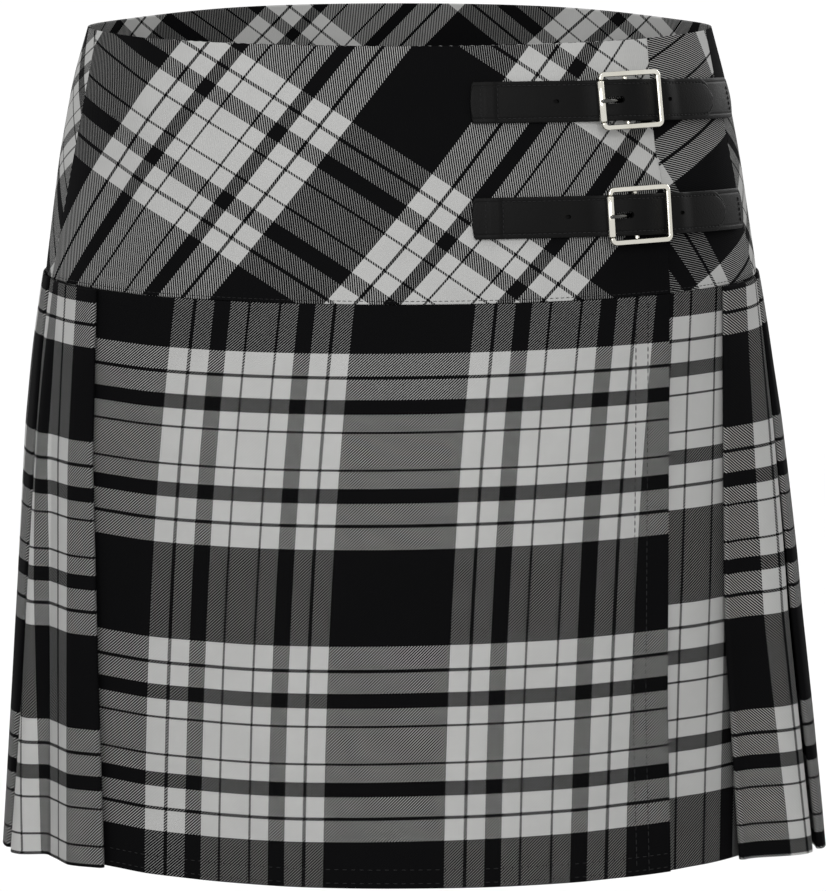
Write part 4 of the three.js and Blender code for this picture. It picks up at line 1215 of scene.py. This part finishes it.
def rounded_loop(width, height, radius):
    """Centre line of the frame, anticlockwise from the right bar's lower end."""
    rows = []
    for quarter in range(4):
        angle = np.pi/2*quarter + np.linspace(0, np.pi/2, CORNER_STEPS)
        sign_x, sign_y = (1, -1, -1, 1)[quarter], (1, 1, -1, -1)[quarter]
        middle = np.array([sign_x*(width/2 - radius), sign_y*(height/2 - radius)])
        rows.append(middle + radius*np.stack([np.cos(angle), np.sin(angle)], -1))
        along = (height if quarter % 2 else width) - 2*radius
        step = np.linspace(0, 1, SIDE_STEPS + 1)[1:-1, None]*along
        way = np.array([-math.sin(angle[-1]), math.cos(angle[-1])])
        rows.append(rows[-1][-1] + step*way)
    return np.concatenate(rows)


def stacked(parts):
    """The points and the faces of several parts as one list of each."""
    points = [part_points.reshape(-1, 3) for part_points, _ in parts]
    offsets = np.cumsum([0] + [len(rows) for rows in points])
    faces = [part_faces + offset for (_, part_faces), offset in zip(parts, offsets)]
    return np.concatenate(points), np.concatenate(faces)


def join_parts(name, parts):
    """One mesh of several (points, faces) parts, each closed and turned outwards."""
    piece = new_mesh(name, *stacked(parts))
    face_outwards(piece)
    smooth_by_angle(piece, 50)
    return piece


def on_buckle(path, points):
    """From the buckle's own x, y, z to the scene: x runs round, y up and z out."""
    origin, way, up, out = path.frame(path.buckle, FRAME_LIFT)
    return origin + points[..., :1]*way + points[..., 1:2]*up + points[..., 2:]*out


# %% Frames and bars
BAR_DOWN = FRAME_LIFT - BAR_LIFT
ROLLER_RADIUS, ROLLER_BORE, ROLLER_LENGTH = 1.9, 1.3, 20.0
FRAME_CORNER, FRAME_POWER, FRAME_SIDES = 2.2, 3.2, 28
CORNER_STEPS, SIDE_STEPS = 10, 40
# The frame's left bar is thinner inside the roller.
THINNED, THIN_PAST, THIN_RAMP, THIN_BAR = 0.62, 0.7, 0.5, 0.6
BAR_BEND, BAR_BEND_STEPS, BAR_INTO_FRAME = 1.6, 7, 0.3
ROD_SIDES = 16
X_WAY, Y_WAY, Z_WAY = np.eye(3)


def make_frame(name, path):
    """The rounded loop, and the middle bar with its two bent ends, which reach into the loop."""
    loop = rounded_loop(BUCKLE_WIDTH - BUCKLE_BAR, BUCKLE_HEIGHT - BUCKLE_BAR, FRAME_CORNER)
    line = np.column_stack([loop, np.zeros(len(loop))])
    in_roller = smoothstep((ROLLER_LENGTH/2 + THIN_PAST - np.abs(line[:, 1]))/THIN_RAMP)
    scale = 1 - THINNED*in_roller*(line[:, 0] < THIN_BAR - END_BAR)
    profile = oval(BUCKLE_BAR, BUCKLE_THICK, FRAME_POWER, FRAME_SIDES)
    ring = sweep(line, profile, Z_WAY, closed=True, scale=scale)
    high = (BUCKLE_HEIGHT - BUCKLE_BAR)/2
    turn = np.linspace(0, np.pi/2, BAR_BEND_STEPS)
    out = BAR_BEND*(1 - np.sin(turn)) - BAR_DOWN
    corner = np.stack([0*turn, high - BAR_BEND*(1 - np.cos(turn)), out], -1)
    end = np.array([[0, high, BAR_INTO_FRAME]])
    bar = np.concatenate([end, corner, (corner*[1, -1, 1])[::-1], end*[1, -1, 1]])
    rod = sweep(bar, oval(2*BAR_RADIUS, 2*BAR_RADIUS, 2, ROD_SIDES), X_WAY)
    parts = [(on_buckle(path, ring), tube_faces(len(line), FRAME_SIDES, closed=True)),
             (on_buckle(path, rod), tube_faces(len(bar), ROD_SIDES))]
    return join_parts("buckle_" + name + "_metal", parts)


ROLLER_SIDES = 32
INNER_RIM = 0.2
OUTER_RIM, OUTER_RIM_LENGTH = 0.25, 0.3


def make_roller(name, path):
    """A tube with rounded rims round the frame's left bar: a closed outline of radius and height
    turned about the bar."""
    half = ROLLER_LENGTH/2
    rim = np.array([(ROLLER_RADIUS, half - OUTER_RIM_LENGTH), (ROLLER_RADIUS - OUTER_RIM, half),
                    (ROLLER_BORE + INNER_RIM, half), (ROLLER_BORE, half - INNER_RIM)])
    outline = np.concatenate([(rim*[1, -1])[::-1], rim])
    turn = np.linspace(0, 2*np.pi, ROLLER_SIDES, endpoint=False)
    points = np.stack([-END_BAR + np.cos(turn)[:, None]*outline[:, 0],
                       np.broadcast_to(outline[:, 1], (ROLLER_SIDES, len(outline))),
                       np.sin(turn)[:, None]*outline[:, 0]], -1)
    faces = tube_faces(ROLLER_SIDES, len(outline), closed=True)
    return join_parts("roller_" + name + "_metal", [(on_buckle(path, points), faces)])


PRONG_STEPS = 41
PRONG_WIDTH, PRONG_THICK, PRONG_POWER = 2.2, 2.0, 2.4
PRONG_TIP, PRONG_TIP_RUN, PRONG_TIP_WIDTH = 1.2, 18, 0.15
PRONG_TAPER = 0.85
PRONG_LOOP, PRONG_LOOP_STEPS, PRONG_LOOP_SIDES = 1.3, 28, 12
PRONG_LOOP_RADIUS = BAR_RADIUS + BAR_PLAY + PRONG_LOOP/2
PRONG_REST = ROLLER_RADIUS + PRONG_WIDTH/2 + LEATHER_GAP
# Along the strap and out from the frame's middle.
PRONG_KNOTS = np.array([(-PRONG_LOOP_RADIUS, 0.4 - BAR_DOWN), (-PRONG_LOOP_RADIUS - 2.5, 1.6 - BAR_DOWN),
                        (-9, 0.6), (1.5 - END_BAR, PRONG_REST + 0.2), (-END_BAR - 2.6, PRONG_REST - 0.2)])


def make_prong(name, path):
    """A loop round the middle bar and a rod that comes up through the strap, onto the roller."""
    share = np.linspace(0, 1, PRONG_STEPS)
    fine = (len(PRONG_KNOTS) - 1)*share
    x, z = (soft_knots(column, fine) for column in PRONG_KNOTS.T)
    tip = rounded_end((1 - share)*PRONG_TIP_RUN, PRONG_TIP, 2)
    scale = np.maximum(tip, PRONG_TIP_WIDTH)*(1 - (1 - PRONG_TAPER)*share)
    profile = oval(PRONG_WIDTH, PRONG_THICK, PRONG_POWER, ROD_SIDES)
    rod = sweep(np.stack([x, 0*x, z], -1), profile, Y_WAY, scale=scale)
    turn = np.linspace(0, 2*np.pi, PRONG_LOOP_STEPS, endpoint=False)
    ring = PRONG_LOOP_RADIUS*np.stack([np.cos(turn), 0*turn, np.sin(turn)], -1) - [0, 0, BAR_DOWN]
    loop = sweep(ring, oval(PRONG_LOOP, PRONG_LOOP, 2, PRONG_LOOP_SIDES), Y_WAY, closed=True)
    parts = [(on_buckle(path, rod), tube_faces(PRONG_STEPS, ROD_SIDES)),
             (on_buckle(path, loop), tube_faces(PRONG_LOOP_STEPS, PRONG_LOOP_SIDES, closed=True))]
    return join_parts("prong_" + name + "_metal", parts)


def soft_knots(values, share):
    """A Catmull-Rom curve through values, at shares that count the knots."""
    padded = np.concatenate([[2*values[0] - values[1]], values, [2*values[-1] - values[-2]]])
    index = np.minimum(share.astype(int), len(values) - 2)
    t = share - index
    a, b, c, d = (padded[index + k] for k in range(4))
    return b + 0.5*t*(c - a + t*(2*a - 5*b + 4*c - d + t*(3*(b - c) + d - a)))


METAL_MAKERS = {"buckle": make_frame, "roller": make_roller, "prong": make_prong}
metals = {kind + "_" + name: make(name, path)
          for name, path in paths.items() for kind, make in METAL_MAKERS.items()}
print("metal pieces:", sorted(metals))

# %% [markdown]
# ## Stitches
# Sewn edges are held by black thread. Each stitch is a short round rod that dips into the cloth
# at both ends, so a row of them reads as thread and casts its own small shadow. All the stitches
# of a seam are one object, made at once: one array for the places, one for the shape.

# %% Stitch helper
STITCH_SIDES = 6
STITCH_STATIONS = 7


def stitch_shape(length, radius, arch):
    """One stitch lying along x: its middle line rises as arch*(1 - t^2) and its radius shrinks as
    sqrt(1 - t^4) towards both ends, t from -1 to 1."""
    share = np.linspace(-0.99, 0.99, STITCH_STATIONS)
    size = radius*np.sqrt(1 - share**4)
    turn = np.linspace(0, 2*np.pi, STITCH_SIDES, endpoint=False)
    x = np.repeat(share[:, None]*length/2, STITCH_SIDES, 1)
    y = size[:, None]*np.cos(turn)
    z = arch*(1 - share[:, None]**2) + size[:, None]*np.sin(turn)
    return np.stack([x, y, z], -1)


def stitch_row(line, outs, pitch, length, radius, arch):
    """Stitches every pitch along a line of points, laid on the side that outs points to."""
    steps = np.concatenate([[0], np.cumsum(np.linalg.norm(np.diff(line, axis=0), axis=1))])
    places = np.arange(pitch/2, steps[-1], pitch)

    def at(table, spot):
        return np.stack([np.interp(spot, steps, column) for column in table.T], -1)
    middle, out = at(line, places), unit(at(outs, places))
    ahead = unit(at(line, places + length/2) - at(line, places - length/2))
    side = np.cross(out, ahead)
    shape = stitch_shape(length, radius, arch).reshape(1, -1, 3)
    points = middle[:, None] + shape[..., :1]*ahead[:, None]
    points = points + shape[..., 1:2]*side[:, None] + shape[..., 2:]*out[:, None]
    caps = np.array([[0, 1, 2, 3], [0, 3, 4, 5]])
    faces = np.concatenate([tube_faces(STITCH_STATIONS, STITCH_SIDES), caps[:, ::-1],
                            caps + (STITCH_STATIONS - 1)*STITCH_SIDES])
    all_faces = faces[None] + np.arange(len(places))[:, None, None]*STITCH_STATIONS*STITCH_SIDES
    return points.reshape(-1, 3), all_faces.reshape(-1, 4)


def stitches(name, rows):
    """One object of several rows of stitches."""
    piece = new_mesh(name, *stacked(rows))
    print(name, "has", len(piece.data.vertices)//(STITCH_STATIONS*STITCH_SIDES), "stitches")
    return piece


# %% Stitches on the leather
def leather_line(path, distance, across, height):
    """A line on a strap at a place across it, on its crowned top, with the outward directions."""
    centre, _, up, out = path.frames(distance, strap_height(distance - path.buckle) + height)
    return centre + up*across[:, None], out


# Pitch, length, radius and arch of a stitch.
LEATHER_STITCH = (2.6, 2.0, 0.28, 0.25)
STITCH_OUT = STRAP_WIDTH/2 - STITCH_IN
LONG_STEPS = 200
LONG_ROW_END = 6.0
CROSS_STEPS = 30
TAB_ROW_IN, TAB_ROW_SHORTER = 4.5, 1.0
OVER_GROOVE = 0.05


def crowned_top(across, thick):
    """Height of a band's crowned top over its middle line."""
    return thick/2 + CROWN*(1 - (across/(STRAP_WIDTH/2))**2)


TOP_OF_GROOVE = crowned_top(STITCH_OUT, STRAP_THICK) - GROOVE + OVER_GROOVE


def cross_row(path, place, height, thick, half):
    """A row straight across a band of leather whose middle lies at a height."""
    across = np.linspace(-half, half, CROSS_STEPS)
    centre, _, up, out = path.frames(np.full(CROSS_STEPS, place), np.full(CROSS_STEPS, height))
    line = centre + up*across[:, None] + out*crowned_top(across, thick)[:, None]
    return stitch_row(line, out, *LEATHER_STITCH)


def strap_stitches(name, path):
    """The long rows in both grooves, and the two cross rows of the folded end."""
    rows = []
    near, far = END_BOX[name]
    long_run = np.linspace(path.start + near, path.tip - LONG_ROW_END, LONG_STEPS)
    narrowing = rounded_end(path.tip - long_run, TIP_REACH, TIP_POWER)
    for side in (-1, 1):
        line = leather_line(path, long_run, side*STITCH_OUT*narrowing, TOP_OF_GROOVE)
        rows.append(stitch_row(*line, *LEATHER_STITCH))
    for place in (near, far):
        rows.append(cross_row(path, path.start + place, STRAP_LOW, STRAP_THICK, STITCH_OUT))
    return stitches("stitches_strap_" + name, rows)


def tab_stitches(name, path):
    """One cross row near the tab's sewn end."""
    row = cross_row(path, path.tab - TAB_ROW_IN, TAB_HIGH, TAB_THICK, STITCH_OUT - TAB_ROW_SHORTER)
    return stitches("stitches_tab_" + name, [row])


leather_stitches = {name: strap_stitches(name, path) for name, path in paths.items()}
tab_threads = {name: tab_stitches(name, path) for name, path in paths.items()}

# %% Stitches on the cloth
APRON_ROWS = (13.0, 20.0)
HEM_ROWS = (2.6, 9.5)
SEAM_ROW_UP = 1.6
# How far a row stops short of an edge, of the top and hem, and of the panel beside it.
ROW_IN, UPRIGHT_IN, UNDER_ROW_IN, BACK_ROW_IN = 1, 3, 2, 3
UPRIGHT_STEPS = 160
LEVEL_STEPS = 400
APRON_STITCH = (3.6, 2.7, 0.26, 0.12)
HEM_STITCH = (4.2, 2.4, 0.22, 0.08)
YOKE_STITCH = (2.8, 2.1, 0.17, 0.05)


def on_cloth(rings, distance, lift):
    """A line on the outer face of the cloth and its outward directions."""
    surface = rings.place(distance, lift + CLOTH_THICK/2)[:, 0]
    return surface, unit(rings.place(distance, lift + 1)[:, 0] - rings.place(distance, lift)[:, 0])


def upright_row(in_from_edge):
    """A row that runs down the over apron at a distance in from its right edge."""
    rings = Rings(np.linspace(PLEAT_TOP + UPRIGHT_IN, LENGTH - UPRIGHT_IN, UPRIGHT_STEPS))
    distance = seam_x(rings, OVER_APRON_EDGE, RIGHT) - in_from_edge
    lift = over_lift(rings, distance) + creases(distance, rings.drops, OVER_APRON_CREASES)
    return on_cloth(rings, distance, lift)


def level_row(drop, start, stop, lift_at, lines):
    """A row that runs round the form at one drop, between two distances."""
    rings = Rings(np.full(LEVEL_STEPS, drop))
    distance = np.linspace(start, stop, LEVEL_STEPS)[:, None]
    return on_cloth(rings, distance, lift_at(rings, distance) + creases(distance, rings.drops, lines))


hem_ring = Rings([LENGTH])
hem_start = -seam_x(hem_ring, FIRST_FOLD_LEFT, LEFT).item() + ROW_IN
hem_stop = seam_x(hem_ring, OVER_APRON_EDGE, RIGHT).item() - ROW_IN
seam_ring = Rings([YOKE_DEPTH])
seam_start = -seam_x(seam_ring, SIDE_SEAM_LEFT, LEFT).item() + ROW_IN
seam_stop = seam_x(seam_ring, OVER_YOKE_EDGE, RIGHT).item() - ROW_IN
under_stop = seam_x(seam_ring, SIDE_SEAM_RIGHT, RIGHT).item() - ROW_IN
back_stop = seam_ring.perimeter.item() + seam_start - BACK_ROW_IN


def yoke_stitches(name, start, stop, lift_at, lines):
    """The row along the foot of one yoke panel."""
    line = level_row(YOKE_DEPTH - SEAM_ROW_UP, start, stop, lift_at, lines)
    return stitches(name, [stitch_row(*line, *YOKE_STITCH)])


apron_rows = [stitch_row(*upright_row(space), *APRON_STITCH) for space in APRON_ROWS]
for hem_up in HEM_ROWS:
    hem_line = level_row(LENGTH - hem_up, hem_start, hem_stop, over_lift, OVER_APRON_CREASES)
    apron_rows.append(stitch_row(*hem_line, *HEM_STITCH))
apron_threads = stitches("stitches_apron", apron_rows)
yoke_threads = yoke_stitches("stitches_yoke", seam_start, seam_stop, over_lift, OVER_YOKE_CREASES)
under_start, back_start = seam_stop + UNDER_ROW_IN, under_stop + BACK_ROW_IN
under_threads = yoke_stitches("stitches_yoke_under", under_start, under_stop, no_lift, UNDER_YOKE_CREASES)
back_threads = yoke_stitches("stitches_yoke_back", back_start, back_stop, no_lift, [])

# %% [markdown]
# ## Leather, metal and thread finishes
# Leather shows a fine pebble grain, and broad patches that are a little duller or shinier. The
# grain is one node group, shared by straps and tabs. The buckles are polished and plated: a nearly
# clear mirror, dulled by fine scratches. The prongs are the same plated metal with painted shade:
# their much darker colour stands in for the shade they sit in and the dark leather they mirror.
# Thread is matt black.

# %% Grain group
def build_grain():
    """Height and patches of leather, from object coordinates. Height is the distance to the
    nearest of scattered points, softened by a finer noise."""
    group = bpy.data.node_groups.new("leather_grain", "ShaderNodeTree")
    group_socket(group, "Grain scale", "NodeSocketFloat", "INPUT", 1300.0)
    for name in ("Height", "Patches"):
        group_socket(group, name, "NodeSocketFloat", "OUTPUT")
    start = add_node(group, "NodeGroupInput", (-6, 0))
    end = add_node(group, "NodeGroupOutput", (3, 0))
    place = add_node(group, "ShaderNodeTexCoord", (-6, 2))
    cells = add_node(group, "ShaderNodeTexVoronoi", (-3, 1), feature="SMOOTH_F1", Smoothness=0.6)
    fine = noise(group, place.outputs["Object"], (-3, -1), Scale=2600.0, Detail=3.0)
    broad = noise(group, place.outputs["Object"], (-3, -3), Scale=75.0, Detail=4.0)
    group.links.new(place.outputs["Object"], cells.inputs["Vector"])
    group.links.new(start.outputs["Grain scale"], cells.inputs["Scale"])
    both = calculate(group, "MULTIPLY_ADD", fine, 0.4, cells.outputs["Distance"], place=(0, 0))
    group.links.new(both, end.inputs["Height"])
    group.links.new(broad, end.inputs["Patches"])
    return group


grain = build_grain()
print("the grain group has", len(grain.nodes), "nodes")


# %% Leather
def leather_material():
    """Nearly black leather, glossier and duller in patches, with the grain as a bump."""
    material, tree, feed = new_finish("black_leather", Specular_IOR_Level=0.08)
    leather = add_node(tree, "ShaderNodeGroup", (-5, 0), node_tree=grain)
    patches = leather.outputs["Patches"]
    feed(two_tone(tree, patches, (0.0040, 0.0040, 0.0041), (0.0075, 0.0074, 0.0072), (-2, 1)), "Base Color")
    feed(spread(tree, patches, 0.38, 0.6, (-2, -1)), "Roughness")
    feed(bumped(tree, leather.outputs["Height"], (-2, -3), Distance=0.08*MM, Strength=0.7), "Normal")
    return material


leather = leather_material()
print("leather:", leather.name)


# %% Metal
def metal_material(name, dim, bright):
    """Plated metal whose colour wanders between a dimmer and a brighter tone."""
    material, tree, feed = new_finish(name, Metallic=1.0)
    place = add_node(tree, "ShaderNodeTexCoord", (-6, 0)).outputs["Object"]
    scratches = noise(tree, place, (-4, 0), Scale=900.0, Detail=6.0, Roughness=0.7, Distortion=1.5)
    broad = noise(tree, place, (-4, 2), Scale=60.0, Detail=3.0)
    feed(two_tone(tree, broad, dim, bright, (-2, 2)), "Base Color")
    feed(spread(tree, scratches, 0.07, 0.2, (-2, 0)), "Roughness")
    feed(bumped(tree, scratches, (-2, -2), Distance=0.01*MM, Strength=0.35), "Normal")
    return material


metal = metal_material("polished_nickel", (0.76, 0.73, 0.63), (0.97, 0.95, 0.88))
# The prongs' metal is the polished nickel with painted shade: its much darker colour stands in for the shade
# they sit in and the dark leather they mirror.
prong_metal_painted_shade = metal_material("nickel_painted_shade", (0.05, 0.05, 0.05), (0.12, 0.12, 0.11))
print("metals:", metal.name, prong_metal_painted_shade.name)


# %% Thread
def thread_material():
    """Matt thread, paler where its twist catches the light."""
    material, tree, feed = new_finish("black_thread", Roughness=0.75, Specular_IOR_Level=0.25)
    place = add_node(tree, "ShaderNodeTexCoord", (-6, 0)).outputs["Object"]
    twist = noise(tree, place, (-4, 0), Scale=1500.0, Detail=2.0)
    feed(two_tone(tree, twist, (0.004, 0.004, 0.004), (0.016, 0.016, 0.017), (-2, 0)), "Base Color")
    return material


thread = thread_material()
print("thread:", thread.name)

# %% Materials onto the pieces
LEATHERS = {"strap_" + name: piece for name, piece in straps.items()}
LEATHERS.update({"tab_" + name: piece for name, piece in tabs.items()})
LEATHER_THREADS = [*leather_stitches.values(), *tab_threads.values()]
CLOTH_THREADS = [apron_threads, yoke_threads, under_threads, back_threads]


def finish_pieces(pieces, material):
    """Give each piece one material and no other."""
    for piece in pieces:
        piece.data.materials.clear()
        piece.data.materials.append(material)


finish_pieces((yoke_over, yoke_under, pleats_right, pleats_left), right_slant)
finish_pieces((yoke_back, apron_over, apron_under), left_slant)
finish_pieces(LEATHERS.values(), leather)
# The prongs get the metal with painted shade, the other metal pieces the polished nickel.
for node, piece in metals.items():
    finish_pieces([piece], prong_metal_painted_shade if node.startswith("prong") else metal)
finish_pieces(LEATHER_THREADS + CLOTH_THREADS, thread)
print("leather, metal and thread pieces:", len(LEATHERS), len(metals), len(LEATHER_THREADS + CLOTH_THREADS))

# %% Ride and replace
# Piece, the node it replaces, its slot, and how its cloth lies, with the flat size in metres.
CLOTH_PIECES = (
    (yoke_over, "yoke_over", "yoke_cloth_over", (0.339, 0.126), "stretched"),
    (yoke_under, "yoke_under", "yoke_cloth_under", (0.324, 0.126), "stretched"),
    (yoke_back, "yoke_back", "yoke_cloth_back", (0.542, 0.126), "stretched"),
    (apron_over, "apron_over", "apron_cloth_over", (0.326, 0.291), "hung"),
    (apron_under, "apron_under", "apron_cloth_under", (0.314, 0.291), "hung"),
    (pleats_right, "pleats_right", "pleat_cloth_right", (right_cut*MM, 0.291), "folded"),
    (pleats_left, "pleats_left", "pleat_cloth_left", (left_cut*MM, 0.291), "folded"),
)


def declare(piece, node=None):
    """A piece rides the root body, and may replace a node."""
    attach(piece, ROOT)
    if node:
        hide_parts(node)


for piece, node, slot, flat_size, held in CLOTH_PIECES:
    declare(piece, node)
for node, piece in LEATHERS.items():
    declare(piece, node)
for node, piece in metals.items():
    declare(piece, node)
for piece in LEATHER_THREADS:
    declare(piece)
for piece in CLOTH_THREADS:
    declare(piece)
print("the cloth pieces replace", len(CLOTH_PIECES), "nodes")
